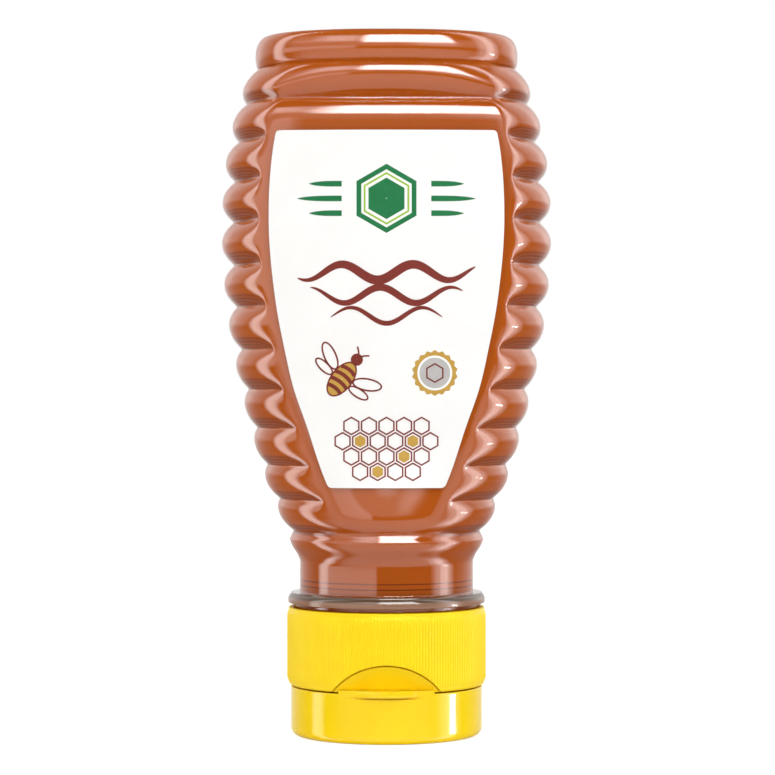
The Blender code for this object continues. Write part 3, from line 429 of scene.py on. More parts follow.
# Name: (from, to and blur in azimuth), (the same in elevation), radiance; the angles in degrees
SOFT_LIGHTS = {
    "key": ((-9, 40, 4), (20, 54, 4), 24.0),
    "key fade": ((-42, -6, 14), (26, 50, 6), 5.0),
    "key spill": ((12, 42, 8), (10, 22, 5), 3.0),
    "right strip": ((66, 96, 7), (-50, 70, 12), 4.0),
    "right core": ((76, 89, 3), (-45, 65, 8), 3.5),
    "lid core": ((81.5, 91, 0.7), (-7.8, -5.9, 0.2), 44.0),
    "left strip": ((-99, -82, 5), (-50, 70, 12), 6.0),
    "left card": ((-80, -13, 2), (-4.5, 9, 2), 2.4),
    "left high card": ((-75, -13, 8), (22, 48, 8), 1.2),
    "front card": ((-75, 75, 14), (7, 30, 5), 1.2),
    "low card": ((-60, 60, 15), (-26, -8.2, 0.8), 1.5),
    "low card top": ((-60, 60, 15), (-8.2, -5.1, 0.8), 1.1),
    "front ground": ((-70, 70, 15), (-75, -26, 2), 1.6),
    "right back": ((100, 150, 14), (0, 50, 5), 1.4),
    "left back": ((-150, -100, 14), (0, 50, 5), 0.9),
    "low sides": ((-150, 150, 20), (-60, -12, 5), 0.2),
}
LAMP_DISTANCE = 1.0
LAMP_SIDE = 0.80
# (name, azimuth and elevation in degrees, radiance, colour)
LAMPS = (
    ("front_light", 14, 34, 1.16, (1, 1, 1)),
    ("left_light", -62, 28, 1.32, (1, 0.93, 0.82)),
    ("right_light", 62, 24, 1.32, (1, 1, 1)),
)

# Camera, at the photograph's height and distance
CAMERA_DISTANCE = 0.560
CAMERA_HEIGHT = 0.07025
CAMERA_SIDE = 0.0002
CAMERA_LENS = 128.1
CAMERA_SENSOR = 36.0


def smooth_step(value):
    """Eases from 0 to 1 as the value goes from 0 to 1."""
    value = min(max(value, 0.0), 1.0)
    return value * value * (3 - 2 * value)


def even_shares(steps, start=0.0):
    """Evenly spaced shares from a start up to 1, both ends included."""
    return [start + (1 - start) * step / steps for step in range(steps + 1)]


def quarter_turns(steps):
    """Angles from 0 to a quarter turn in even steps, both ends included."""
    return [math.pi / 2 * step / steps for step in range(steps + 1)]


def curve_through(points, at):
    """The height at one place of a smooth curve through points that ascend in their first number."""
    index = 0
    while index < len(points) - 2 and at > points[index + 1][0]:
        index += 1
    (x0, y0), (x1, y1) = points[index], points[index + 1]
    before = points[max(index - 1, 0)]
    after = points[min(index + 2, len(points) - 1)]
    slope0 = (y1 - before[1]) / (x1 - before[0])
    slope1 = (after[1] - y0) / (after[0] - x0)
    width = x1 - x0
    t = min(max((at - x0) / width, 0.0), 1.0)
    start = (1 + 2 * t) * (1 - t) ** 2 * y0 + t * (1 - t) ** 2 * width * slope0
    return start + t * t * (3 - 2 * t) * y1 + t * t * (t - 1) * width * slope1


def rib_share(z):
    """Share of the ribbed height that lies below a height, from 0 to 1."""
    return min(max((z - RIBS_BOTTOM) / RIBBED_HEIGHT, 0.0), 1.0)


def crest_half_width(z):
    """Half width across the crests of the ribs at a height."""
    swell = BODY_HALF_WIDTH - SHOULDER_RADIUS
    return SHOULDER_RADIUS + swell * curve_through(OUTLINE_SHARES, rib_share(z))


def panel_half_width(z):
    """Half width of the flat front panel at a height."""
    return crest_half_width(z) * curve_through(PANEL_SHARES, rib_share(z))


def oval_half_depth(z):
    """Half depth of the plain oval that the body would be without its panels."""
    return SHOULDER_RADIUS + (FOOT_HALF_DEPTH - SHOULDER_RADIUS) * rib_share(z)


def oval_power(z):
    """Fullness of that oval: a true ellipse at the neck, squarer towards the foot."""
    return 2 + (FOOT_POWER_SHARE - 2) * rib_share(z)


def panel_blend(z):
    """How far the outline has gone from the plain oval to the flat panels, from 0 to 1."""
    low = smooth_step((z - RIBS_BOTTOM) / PANEL_BLEND_LOW)
    return low * smooth_step((RIBS_TOP - z) / PANEL_BLEND_HIGH)


def panel_depth(x):
    """Depth of the gently crowned panel at a distance from its middle line."""
    return PANEL_HALF_DEPTH - x * x / (2 * PANEL_RADIUS)


def panel_front(x, z):
    """Depth of the body's front at a place on the panel."""
    power = oval_power(z)
    oval = oval_half_depth(z) * (1 - abs(x / crest_half_width(z)) ** power) ** (1 / power)
    return oval + (panel_depth(x) - oval) * panel_blend(z)


def quarter_columns():
    """Share of the panel and share of the cheek that lie behind each column of a quarter outline."""
    crowding = PANEL_CROWDING_SHARE
    panel = [(share * (1 + crowding - crowding * share), 0.0) for share in even_shares(PANEL_COLUMNS)]
    return panel + [(1.0, share) for share in even_shares(CHEEK_COLUMNS)[1:]]


def column_angles(edge):
    """Angle of each column from the front, where the panel's edge lies at a given angle."""
    return [edge * panel + (math.pi / 2 - edge) * cheek for panel, cheek in quarter_columns()]


def quarter_outline(z):
    """Points at a height from the front middle, along the panel and round the cheek, to the side."""
    half_width = crest_half_width(z)
    edge = panel_half_width(z)
    share = edge / half_width
    power = CHEEK_POWER_SHARE
    reach = panel_depth(edge) / (1 - share**power) ** (1 / power)
    start = math.acos(share ** (power / 2))
    fullness = oval_power(z)
    depth = oval_half_depth(z)
    blend = panel_blend(z)
    points = []
    angles = column_angles(math.asin(share ** (fullness / 2)))
    for (panel, cheek), angle in zip(quarter_columns(), angles):
        x = edge * panel
        if cheek > 0:
            x = half_width * math.cos(start * (1 - cheek)) ** (2 / power)
        flat = panel_depth(x)
        bulge = reach * max(1 - (x / half_width) ** power, 0.0) ** (1 / power)
        y = max((flat + bulge - math.hypot(flat - bulge, 2 * EDGE_SOFTENING)) / 2, 0.0)
        oval_x = half_width * math.sin(angle) ** (2 / fullness)
        oval_y = depth * max(math.cos(angle), 0.0) ** (2 / fullness)
        points.append((oval_x + (x - oval_x) * blend, oval_y + (y - oval_y) * blend))
    return points


def full_ring(quarter):
    """The whole outline from its front-right quarter, counted from the front middle."""
    right = [(x, -y) for x, y in quarter] + [(x, y) for x, y in quarter[-2::-1]]
    left = [(-x, y) for x, y in quarter[1:]] + [(-x, -y) for x, y in quarter[-2:0:-1]]
    return right + left


def groove_reach(full_round):
    """How much of its depth a groove has at each column of the full outline."""
    quarter = []
    for _, cheek in quarter_columns():
        left = max(1 - cheek / GROOVE_RAMP_SHARE, 0.0)
        quarter.append((1.0 if full_round else 1 - left**GROOVE_RAMP_POWER, 0.0))
    return [abs(reach) for reach, _ in full_ring(quarter)]


REACH_OF_SIDE_GROOVE = groove_reach(False)
REACH_OF_ROUND_GROOVE = groove_reach(True)


def inset_ring(outline, insets, z):
    """The outline at a height, each point moved inwards by its own inset."""
    ring = []
    for index, (x, y) in enumerate(outline):
        before = outline[index - 1]
        after = outline[(index + 1) % len(outline)]
        along_x = after[0] - before[0]
        along_y = after[1] - before[1]
        inset = insets[index] / math.hypot(along_x, along_y)
        ring.append((x - along_y * inset, y + along_x * inset, z))
    return ring


def groove_depth(index):
    """Depth of a groove, deepest where the body is widest."""
    return GROOVE_DEPTH * curve_through(DEPTH_SHARES, GROOVE_SHARES[index])


def rib_arc(offset):
    """Share of the groove's depth at an offset from the crest, where 1 is the groove itself."""
    near = 1 - GROOVE_ROUNDING_SHARE
    off = 1 - math.hypot(1 - abs(offset), GROOVE_ROUNDING_SHARE)
    near, off = (1 - math.sqrt(1 - (RIB_ROUNDNESS_SHARE * at) ** 2) for at in (near, max(off, 0.0)))
    return off / near


def groove_ring(z, groove, share, inset):
    """One ring of the ribbed wall at a share of the depth of a groove."""
    depth = groove_depth(groove) * share
    reaches = REACH_OF_ROUND_GROOVE if groove in FULL_ROUND_GROOVES else REACH_OF_SIDE_GROOVE
    outline = full_ring(quarter_outline(z))
    return inset_ring(outline, [inset + depth * reach for reach in reaches], z)


def rib_places(steps):
    """Height, nearest groove and offset from the crest of each ring, closest at the grooves."""
    places = []
    for index in range(len(GROOVE_SHARES) - 1):
        low = RIBS_BOTTOM + RIBBED_HEIGHT * GROOVE_SHARES[index]
        high = RIBS_BOTTOM + RIBBED_HEIGHT * GROOVE_SHARES[index + 1]
        for step in range(steps):
            offset = -math.cos(math.pi * step / steps)
            groove = index if offset < 0 else index + 1
            places.append((low + (high - low) * (1 + offset) / 2, groove, offset))
    return places + [(RIBS_TOP, len(GROOVE_SHARES) - 1, 1.0)]


def rib_rings(steps, inset):
    """Rings of the ribbed wall from the neck end to the foot end."""
    return [groove_ring(z, groove, rib_arc(offset), inset) for z, groove, offset in rib_places(steps)]


def foot_rings(inset, top):
    """Rings of the foot band, from its lowest groove over its rounded corner to its flat rim."""
    outline = full_ring(quarter_outline(RIBS_TOP))
    band = FOOT_HEIGHT - FOOT_CORNER
    crest = BODY_HALF_WIDTH * FOOT_SHARE / crest_half_width(RIBS_TOP)
    groove = groove_depth(len(GROOVE_SHARES) - 1)
    corner = max(FOOT_CORNER_REACH - inset, 0.0)
    rings = []
    for turn in quarter_turns(FOOT_RINGS)[1:]:
        swell = math.sin(turn)
        widen = 1 + (crest - 1) * swell
        ring = [(x * widen, y) for x, y in outline]
        insets = [inset + groove * (1 - swell)] * len(ring)
        rings.append(inset_ring(ring, insets, RIBS_TOP + band * (1 - math.cos(turn))))
    wide = [(x * crest, y) for x, y in outline]
    for turn in quarter_turns(FILLET_STEPS)[1:]:
        z = RIBS_TOP + band + (top - RIBS_TOP - band) * math.sin(turn)
        rings.append(inset_ring(wide, [inset + corner * (1 - math.cos(turn))] * len(wide), z))
    return rings


def push_up_rings(inset):
    """Rings of the shallow recess in the foot, from the rim inwards to the moulding gate."""
    outer = foot_rings(inset, BOTTLE_TOP - inset)[-1]
    half_width = max(point[0] for point in outer)
    rings = []
    for along in even_shares(FILLET_STEPS):
        share = 1 - (FOOT_RIM_WIDTH + PUSH_UP_SLOPE * along) / half_width
        drop = PUSH_UP_DEPTH * smooth_step(along)
        rings.append([(x * share, y * share, z - drop) for x, y, z in outer])
    return rings


def round_ring(radius, z, lift=None):
    """A circle with the same columns as the body's outline, and a lift of its own at each angle."""
    angles = column_angles(math.asin(PANEL_SHARES[0][1]))
    points = []
    for x, y in full_ring([(math.sin(angle), math.cos(angle)) for angle in angles]):
        reach = radius + (lift(math.atan2(y, x), z) if lift else 0.0)
        points.append((x * reach, y * reach, z))
    return points


def thread_lift(angle, z):
    """Height of the right-handed thread ridge over the neck at an angle and a height."""
    bottom = NECK_RIM + THREAD_START
    turns = THREAD_RISE / THREAD_LEAD
    turn = (angle / (2 * math.pi)) % 1
    best = 0.0
    while turn <= turns:
        away = abs(z - bottom - THREAD_LEAD * turn)
        ridge = (THREAD_ROOT_HALF - away) / (THREAD_ROOT_HALF - THREAD_CREST_HALF)
        fade = smooth_step(min(turn, turns - turn) / THREAD_FADE_SHARE)
        best = max(best, min(max(ridge, 0.0), 1.0) * fade)
        turn += 1
    return THREAD_DEPTH * smooth_step(best)


def shoulder_rings(inset, steps):
    """Rings from the straight neck out to the roll under the first groove."""
    rings = []
    for share in even_shares(steps):
        up = SHOULDER_SHARES[-1][0] * share
        swell = SHOULDER_SWELL * curve_through(SHOULDER_SHARES, up)
        rings.append(round_ring(NECK_RADIUS + swell - inset, NECK_TOP + SHOULDER_HEIGHT * up))
    return rings


def rounded(profile, size, steps=CORNER_STEPS):
    """The same outline with each corner turned into a small curve that starts a size away from it."""
    corners = [Vector(point) for point in profile]
    points = [profile[0]]
    for before, corner, after in zip(corners, corners[1:], corners[2:]):
        back = before - corner
        ahead = after - corner
        start = corner + back * min(size / back.length, CORNER_LIMIT_SHARE)
        end = corner + ahead * min(size / ahead.length, CORNER_LIMIT_SHARE)
        for share in even_shares(steps):
            points.append(tuple(start.lerp(corner, share).lerp(corner.lerp(end, share), share)))
    return points + [profile[-1]]


def flange_side(share):
    """Radius and height on the flange's domed side, from its widest place up to its top edge."""
    turn = math.radians(FLANGE_CURVE_DEGREES) * share
    radius = FLANGE_RADIUS - FLANGE_CURVE * (1 - math.cos(turn))
    return radius, FLANGE_BOTTOM + FLANGE_CURVE_START + FLANGE_CURVE * math.sin(turn)


def finish_rings():
    """Rings of the outer neck, from the straight neck down over the flange to the threaded finish."""
    bead_bottom = FLANGE_BOTTOM - BEAD_HEIGHT
    edge = FLANGE_ROUNDING
    over = [
        (NECK_RADIUS, NECK_TOP - RIM_CHAMFER),
        (NECK_RADIUS, FLANGE_TOP + edge / 2),
        (NECK_RADIUS + edge / 2, FLANGE_TOP),
        (flange_side(1)[0], FLANGE_TOP),
    ]
    side = [flange_side(share) for share in even_shares(FILLET_STEPS)[::-1]]
    under = [
        side[-1],
        (FLANGE_RADIUS, FLANGE_BOTTOM + edge / 4),
        (FLANGE_RADIUS - edge, FLANGE_BOTTOM),
        (BEAD_RADIUS, FLANGE_BOTTOM),
        (BEAD_RADIUS, bead_bottom),
        (FINISH_RADIUS, bead_bottom - (BEAD_RADIUS - FINISH_RADIUS) / 2),
    ]
    outline = rounded(over, edge / 4) + side[:-1] + rounded(under, edge / 4)
    rings = [round_ring(radius, z) for radius, z in outline]
    low = NECK_RIM + RIM_CHAMFER
    threaded = rings[-1][0][2] - low
    for share in even_shares(round(threaded / THREAD_RING_PITCH))[1:-1]:
        rings.append(round_ring(FINISH_RADIUS, low + threaded * (1 - share), thread_lift))
    rim = [
        (FINISH_RADIUS, NECK_RIM + 2 * RIM_CHAMFER),
        (FINISH_RADIUS, NECK_RIM),
        (BORE_RADIUS, NECK_RIM),
        (BORE_RADIUS, NECK_RIM + 2 * RIM_CHAMFER),
    ]
    return rings + [round_ring(radius, z) for radius, z in rounded(rim, RIM_CHAMFER)[1:-1]]


def new_piece(name, points, faces, material=None, sharp_degrees=SHARP_DEGREES):
    """A new object of points and faces, with its faces turned outwards and shaded smooth."""
    mesh = bpy.data.meshes.new(name)
    mesh.from_pydata(points, [], faces)
    bm = bmesh.new()
    bm.from_mesh(mesh)
    bmesh.ops.recalc_face_normals(bm, faces=bm.faces)
    bm.to_mesh(mesh)
    bm.free()
    mesh.shade_smooth()
    mesh.set_sharp_from_angle(angle=math.radians(sharp_degrees))
    if material:
        mesh.materials.append(material)
    obj = bpy.data.objects.new(name, mesh)
    bpy.context.scene.collection.objects.link(obj)
    return obj


def skin(name, rings, ends, material, sharp_degrees=SHARP_DEGREES):
    """A body through rings of equal counts, over a middle point at each end or closed on itself."""
    count = len(rings[0])
    points = [point for ring in rings for point in ring]
    faces = []
    for low in range(len(rings) - 1 if ends else len(rings)):
        high = (low + 1) % len(rings)
        for index in range(count):
            after = (index + 1) % count
            corners = ((low, index), (low, after), (high, after), (high, index))
            faces.append([row * count + column for row, column in corners])
    for row, middle in zip((0, len(rings) - 1), ends or ()):
        centre = len(points)
        points.append(middle)
        for index in range(count):
            faces.append((centre, row * count + index, row * count + (index + 1) % count))
    return new_piece(name, points, faces, material, sharp_degrees)


def turned(name, profile, material, steps=TURN_STEPS, radius_at=None):
    """A body of revolution about Z. A profile that starts on the axis also ends there."""
    solid = profile[0][0] == 0.0
    rings = []
    for radius, z in profile[1:-1] if solid else profile:
        ring = []
        for step in range(steps):
            angle = 2 * math.pi * step / steps
            reach = radius_at(radius, z, angle) if radius_at else radius
            ring.append((reach * math.cos(angle), reach * math.sin(angle), z))
        rings.append(ring)
    ends = ((0, 0, profile[0][1]), (0, 0, profile[-1][1])) if solid else None
    return skin(name, rings, ends, material)


def prism(name, outline, low, high, material=None):
    """An upright or lying block from an outline of points, pushed out from low to high."""
    count = len(outline)
    points = [Vector(point) + Vector(end) for end in (low, high) for point in outline]
    faces = [tuple(range(count)), tuple(range(count, 2 * count))]
    for index in range(count):
        after = (index + 1) % count
        faces.append((index, after, after + count, index + count))
    return new_piece(name, points, faces, material)


def block(name, low, high):
    """A box between two corners."""
    outline = [(low[0], low[1], 0), (high[0], low[1], 0), (high[0], high[1], 0), (low[0], high[1], 0)]
    return prism(name, outline, (0, 0, low[2]), (0, 0, high[2]))


def soften(obj, width):
    """Rounds a helper's edges."""
    bevel = obj.modifiers.new("edges", "BEVEL")
    bevel.width = width
    bevel.segments = BEVEL_STEPS
    return obj


def even_normals(obj):
    """Lets a piece's large faces lead its shading, so that they look flat beside small roundings."""
    modifier = obj.modifiers.new("even_normals", "WEIGHTED_NORMAL")
    modifier.keep_sharp = True


def combine(obj, helper, operation):
    """Adds or cuts a helper body, and leaves only the result."""
    modifier = obj.modifiers.new(helper.name, "BOOLEAN")
    modifier.operation = operation
    modifier.solver = "EXACT"
    modifier.object = helper
    evaluated = obj.evaluated_get(bpy.context.evaluated_depsgraph_get())
    mesh = bpy.data.meshes.new_from_object(evaluated)
    mesh.set_sharp_from_angle(angle=math.radians(SHARP_DEGREES))
    obj.modifiers.clear()
    obj.data = mesh
    mesh.name = obj.name
    bpy.data.objects.remove(helper, do_unlink=True)


def seat(obj, body, slot_name, *nodes):
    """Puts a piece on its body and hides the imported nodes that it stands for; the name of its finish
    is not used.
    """
    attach(obj, body)
    if nodes:
        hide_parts(*nodes)
    return obj


def make_shell(material, flange_with_painted_shade):
    """The blown shell: ribbed body, shoulder roll, neck, flange and threaded finish."""
    outer = push_up_rings(0.0)[::-1] + foot_rings(0.0, BOTTLE_TOP)[::-1]
    outer += rib_rings(OUTER_RINGS, 0.0)[::-1] + shoulder_rings(0.0, SHOULDER_RINGS)[::-1]
    outer += finish_rings()
    inner = [
        round_ring(BORE_RADIUS, FLANGE_BOTTOM),
        round_ring(NECK_RADIUS - BODY_WALL, FLANGE_TOP + RIM_CHAMFER),
    ]
    inner += shoulder_rings(BODY_WALL, INNER_RINGS) + rib_rings(INNER_RINGS, BODY_WALL)
    inner += foot_rings(BODY_WALL, BOTTLE_TOP - BODY_WALL) + push_up_rings(BODY_WALL)
    floor = BOTTLE_TOP - PUSH_UP_DEPTH
    ends = ((0, 0, floor), (0, 0, floor - BODY_WALL))
    shell = skin("shell", outer + inner, ends, material, BLOWN_SHARP_DEGREES)
    shell.data.materials.append(flange_with_painted_shade)
    # The flange's outer faces take the material with painted shade
    for face in shell.data.polygons:
        x, y, z = face.center
        if FLANGE_BOTTOM <= z <= FLANGE_TOP and math.hypot(x, y) > NECK_RADIUS + FLANGE_ROUNDING:
            face.material_index = 1
    return seat(shell, "bottle", "clear_bottle_plastic", "bottle_shell")


def make_honey(material):
    """The honey, which wets the shell's wall and fills it up to the foot, with painted shade and
    highlight lines at its grooves and painted dark lines round its neck.
    """
    inset = BODY_WALL - HONEY_OVERLAP
    neck = NECK_RADIUS - inset
    bore = BORE_RADIUS + HONEY_OVERLAP
    bottom = PLUG_TOP + FIT_GAP
    rings = [
        round_ring(bore, bottom),
        round_ring(bore, FLANGE_BOTTOM),
        round_ring(neck, FLANGE_TOP + RIM_CHAMFER),
    ]
    # Rings that carry the painted dark lines round the neck
    painted_shade_rows = []
    for rise in NECK_LINE_RISES:
        painted_shade_rows += [len(rings) + 1, len(rings) + 2]
        for share in NECK_LINE_SHARES:
            rings.append(round_ring(neck, FLANGE_TOP + rise + NECK_LINE_HEIGHT * share))
    rings += shoulder_rings(inset, SHOULDER_RINGS)
    first_rib = len(rings)
    rings += rib_rings(HONEY_RINGS, inset)
    rings += foot_rings(inset, BOTTLE_TOP - inset) + push_up_rings(inset)
    ends = ((0, 0, bottom), (0, 0, BOTTLE_TOP - PUSH_UP_DEPTH - inset))
    honey = skin("honey", rings, ends, material, BLOWN_SHARP_DEGREES)
    # Each point's place on the painted shade and highlight tints
    painted_groove_light = honey.data.attributes.new("painted_groove_light", "FLOAT", "POINT")
    columns = len(rings[0])
    for row in painted_shade_rows:
        for column in range(columns):
            painted_groove_light.data[row * columns + column].value = NECK_LINE_PAINTED_SHADE
    # Painted groove shade and highlights, stronger towards the foot, only on the sides beyond the panel
    for row, (z, _, offset) in enumerate(rib_places(HONEY_RINGS)):
        strength = PAINTED_GROOVE_LIGHT_SHARE + (1 - PAINTED_GROOVE_LIGHT_SHARE) * (z - RIBS_BOTTOM) / RIBBED_HEIGHT
        signed = math.copysign(rib_arc(offset), offset) * strength
        for column, reach in enumerate(REACH_OF_SIDE_GROOVE):
            painted_groove_light.data[(first_rib + row) * columns + column].value = signed * reach
    return seat(honey, "bottle", "honey", "honey_fill")


def label_half_width(z):
    """Half width of the label at a height, with its four corners rounded off."""
    low = min(z - LABEL_BOTTOM, LABEL_TOP - z)
    short = max(LABEL_CORNER - low, 0.0)
    rounding = LABEL_CORNER - math.sqrt(max(LABEL_CORNER**2 - short**2, 0.0))
    return panel_half_width(z) - LABEL_INSET - rounding


def on_label(x, z, lift):
    """The point over a place of the label, a lift away from the shell."""
    return (x, -(panel_front(x, z) + lift), z)


def patch(points, faces, grid, lifts, closed=False):
    """Adds a thin closed sheet over a grid of places on the panel, from one lift to another."""
    rows = len(grid)
    columns = len(grid[0])
    start = len(points)
    for lift in lifts:
        points += [on_label(x, z, lift) for row in grid for x, z in row]

    def quad(*corners):
        faces.append([
            start + (side * rows + row) * columns + column % columns
            for row, column, side in corners
        ])

    for column in range(columns if closed else columns - 1):
        after = column + 1
        for row in range(rows - 1):
            for side in (0, 1):
                low = ((row, column, side), (row, after, side))
                quad(*low, (row + 1, after, side), (row + 1, column, side))
        for row in (0, rows - 1):
            quad((row, column, 0), (row, after, 0), (row, after, 1), (row, column, 1))
    for column in () if closed else (0, columns - 1):
        for row in range(rows - 1):
            quad((row, column, 0), (row + 1, column, 0), (row + 1, column, 1), (row, column, 1))


def make_label(material):
    """The film label on the front panel."""
    corner = [LABEL_CORNER * (1 - math.cos(turn)) for turn in quarter_turns(FILLET_STEPS)[:-1]]
    inner = LABEL_TOP - LABEL_BOTTOM - 2 * LABEL_CORNER
    heights = [LABEL_BOTTOM + up for up in corner]
    heights += [LABEL_BOTTOM + LABEL_CORNER + inner * share for share in even_shares(LABEL_ROWS)]
    heights += [LABEL_TOP - up for up in corner[::-1]]
    grid = []
    for z in heights:
        half = label_half_width(z)
        grid.append([(half * share, z) for share in even_shares(LABEL_COLUMNS, -1)])
    points = []
    faces = []
    patch(points, faces, grid, (LABEL_BACK, LABEL_FRONT))
    return seat(new_piece("label", points, faces, material), "bottle", "label_film", "front_label")


class Ink:
    """One colour of the label's print, gathered as thin patches of a single mesh."""

    def __init__(self, name, material, front):
        self.name = name
        self.material = material
        self.lifts = (INK_BACK, front)
        self.points = []
        self.faces = []

    def ring(self, middle, outer, inner):
        """The band between two closed outlines, each given as a radius at an angle."""
        grid = []
        for radius in (outer, inner):
            row = []
            for step in range(INK_RING_STEPS):
                angle = 2 * math.pi * step / INK_RING_STEPS
                reach = radius(angle)
                row.append((middle[0] + reach * math.sin(angle), middle[1] + reach * math.cos(angle)))
            grid.append(row)
        patch(self.points, self.faces, grid, self.lifts, closed=True)

    def stroke(self, line, half_at):
        """A stroke along a line of places, with its half width at each share of its length."""
        rows = [[], []]
        for index, (x, z) in enumerate(line):
            before = line[max(index - 1, 0)]
            after = line[min(index + 1, len(line) - 1)]
            run_x = after[0] - before[0]
            run_z = after[1] - before[1]
            half = half_at(index / (len(line) - 1)) / math.hypot(run_x, run_z)
            rows[0].append((x - run_z * half, z + run_x * half))
            rows[1].append((x + run_z * half, z - run_x * half))
        patch(self.points, self.faces, rows, self.lifts)

    def fill(self, middle, radius):
        """A filled shape, given as a radius at an angle, as rings that narrow down to its middle."""
        for outer, inner in zip(FILL_SHARES, FILL_SHARES[1:]):
            self.ring(middle, lambda angle: radius(angle) * outer, lambda angle: radius(angle) * inner)

    def finish(self):
        """The printed piece, on the bottle."""
        return seat(new_piece(self.name, self.points, self.faces, self.material), "bottle", "label_film")


def polygon(radius, sides=6, turn=0.0):
    """The radius at an angle of a regular polygon with a corner radius."""
    part = 2 * math.pi / sides

    def at(angle):
        off = (angle - turn) % part - part / 2
        return radius * math.cos(part / 2) / math.cos(off)

    return at


def circle(radius, waves=0, swing=0.0):
    """The radius at an angle of a circle, with a scalloped edge if it has waves."""
    return lambda angle: radius + swing * math.cos(waves * angle)


def ellipse(half_length, half_width, turn=0.0):
    """The radius at an angle of an ellipse whose long axis lies at a turn from upright."""
    def at(angle):
        along = math.cos(angle - turn) / half_length
        across = math.sin(angle - turn) / half_width
        return 1 / math.hypot(along, across)

    return at


def print_crest(green, leaf):
    """A green hexagon with bars at its sides, under the label's top edge."""
    z = LABEL_TOP - CREST_DROP
    rim, rim_inside, line, line_inside, heart = (polygon(CREST_RADIUS * share) for share in CREST_SHARES)
    green.ring((0, z), rim, rim_inside)
    leaf.ring((0, z), line, line_inside)
    green.fill((0, z), heart)
    for side in (-1, 1):
        for up, end in CREST_BARS:
            bar = []
            for share in even_shares(CREST_BAR_STEPS):
                bar.append((side * (CREST_BAR_START + (end - CREST_BAR_START) * share), z + up))
            green.stroke(bar, lambda share: CREST_BAR_HALF * (1 - CREST_BAR_TAPER_SHARE * share**4))


def print_waves(brown):
    """Three flowing strokes across the label's middle."""
    for down, reach, half in WAVES:
        line = []
        for share in even_shares(WAVE_STEPS, -1):
            x = reach * share
            swing = WAVE_SWING * math.sin(2 * math.pi * x / WAVE_LENGTH + down / WAVE_SWING)
            line.append((x, LABEL_TOP - down + swing))

        def half_at(share):
            return half * (WAVE_END_SHARE + math.sin(math.pi * share) ** WAVE_FULLNESS)

        brown.stroke(line, half_at)


def print_seal(gold, silver, brown):
    """A plain gold seal with a scalloped edge and a silver heart."""
    place = (SEAL_PLACE[0], LABEL_TOP - SEAL_PLACE[1])
    band, heart, hexagon, hexagon_inside = (SEAL_RADIUS * share for share in SEAL_SHARES)
    gold.ring(place, circle(SEAL_RADIUS, SEAL_SCALLOPS, SEAL_RADIUS * SCALLOP_SHARE), circle(band))
    silver.fill(place, circle(heart))
    brown.ring(place, polygon(hexagon), polygon(hexagon_inside))


def print_bee(brown, gold):
    """A bee in plain strokes, with gold between its stripes."""
    turn = math.radians(BEE_TURN_DEGREES)
    along = Vector((math.sin(turn), math.cos(turn)))
    across = Vector((math.cos(turn), -math.sin(turn)))
    place = Vector((BEE_PLACE[0], LABEL_TOP - BEE_PLACE[1]))
    edges = [ellipse(BEE_LENGTH * long, BEE_WIDTH * wide, turn) for long, wide in BEE_SHARES]
    rim, rim_inside, gold_edge = edges
    gold.fill(place, gold_edge)
    brown.ring(place, rim, rim_inside)
    for up in BEE_STRIPES:
        half = BEE_WIDTH * math.sqrt(1 - (up / BEE_LENGTH) ** 2) * BEE_STRIPE_SHARE
        line = []
        for share in even_shares(STRIPE_STEPS, -1):
            line.append(place + along * (up - BEE_STRIPE_HALF * share**2) + across * half * share)
        brown.stroke(line, lambda share: BEE_STRIPE_HALF)
    head = place + along * (BEE_LENGTH + BEE_HEAD * BEE_HEAD_SHARE)
    brown.fill(head, circle(BEE_HEAD))
    for up, degrees, length, width in BEE_WINGS:
        for side in (-1, 1):
            lean = turn + side * math.radians(degrees)
            root = place + along * up - across * side * BEE_WIDTH * BEE_WING_ROOT_SHARE
            middle = root + Vector((math.sin(lean), math.cos(lean))) * length
            inside = ellipse(length - CELL_STROKE, width - CELL_STROKE, lean)
            brown.ring(middle, ellipse(length, width, lean), inside)
    for side in (-1, 1):
        line = []
        for share in BEE_FEELER_SHARES:
            reach = BEE_FEELER * share
            line.append(head + along * reach + across * side * reach * share * BEE_FEELER_SPREAD_SHARE)
        brown.stroke(line, lambda share: CELL_STROKE / 2)


def print_comb(brown, gold):
    """A patch of honeycomb over the label's bottom edge."""
    for row, (up, count) in enumerate(CELL_ROWS):
        for column in range(count):
            place = (CELL_PITCH * (column - (count - 1) / 2), LABEL_BOTTOM + up)
            brown.ring(place, polygon(CELL_RADIUS), polygon(CELL_RADIUS - CELL_STROKE))
            if (row, column) in FILLED_CELLS:
                gold.fill(place, polygon(CELL_RADIUS * CELL_FILL_SHARE))


def print_label(inks):
    """All of the label's print, one piece for each colour."""
    print_crest(inks["green"], inks["leaf"])
    print_waves(inks["brown"])
    print_seal(inks["gold"], inks["silver"], inks["brown"])
    print_bee(inks["brown"], inks["gold"])
    print_comb(inks["brown"], inks["gold"])
    for ink in inks.values():
        ink.finish()


def quarter_round(radius, bottom, rounding):
    """Radius and height pairs round the rounded lower edge of a turned wall."""
    return [
        (radius - rounding * (1 - math.sin(turn)), bottom + rounding * (1 - math.cos(turn)))
        for turn in quarter_turns(FILLET_STEPS)
    ]


def knurl_span():
    """Lowest and highest place of the skirt's ribs."""
    low = SKIRT_BOTTOM + CAP_FOOT_ROUNDING + KNURL_MARGIN_BOTTOM
    return low, SKIRT_TOP - CAP_RIM_ROUNDING - KNURL_MARGIN_TOP


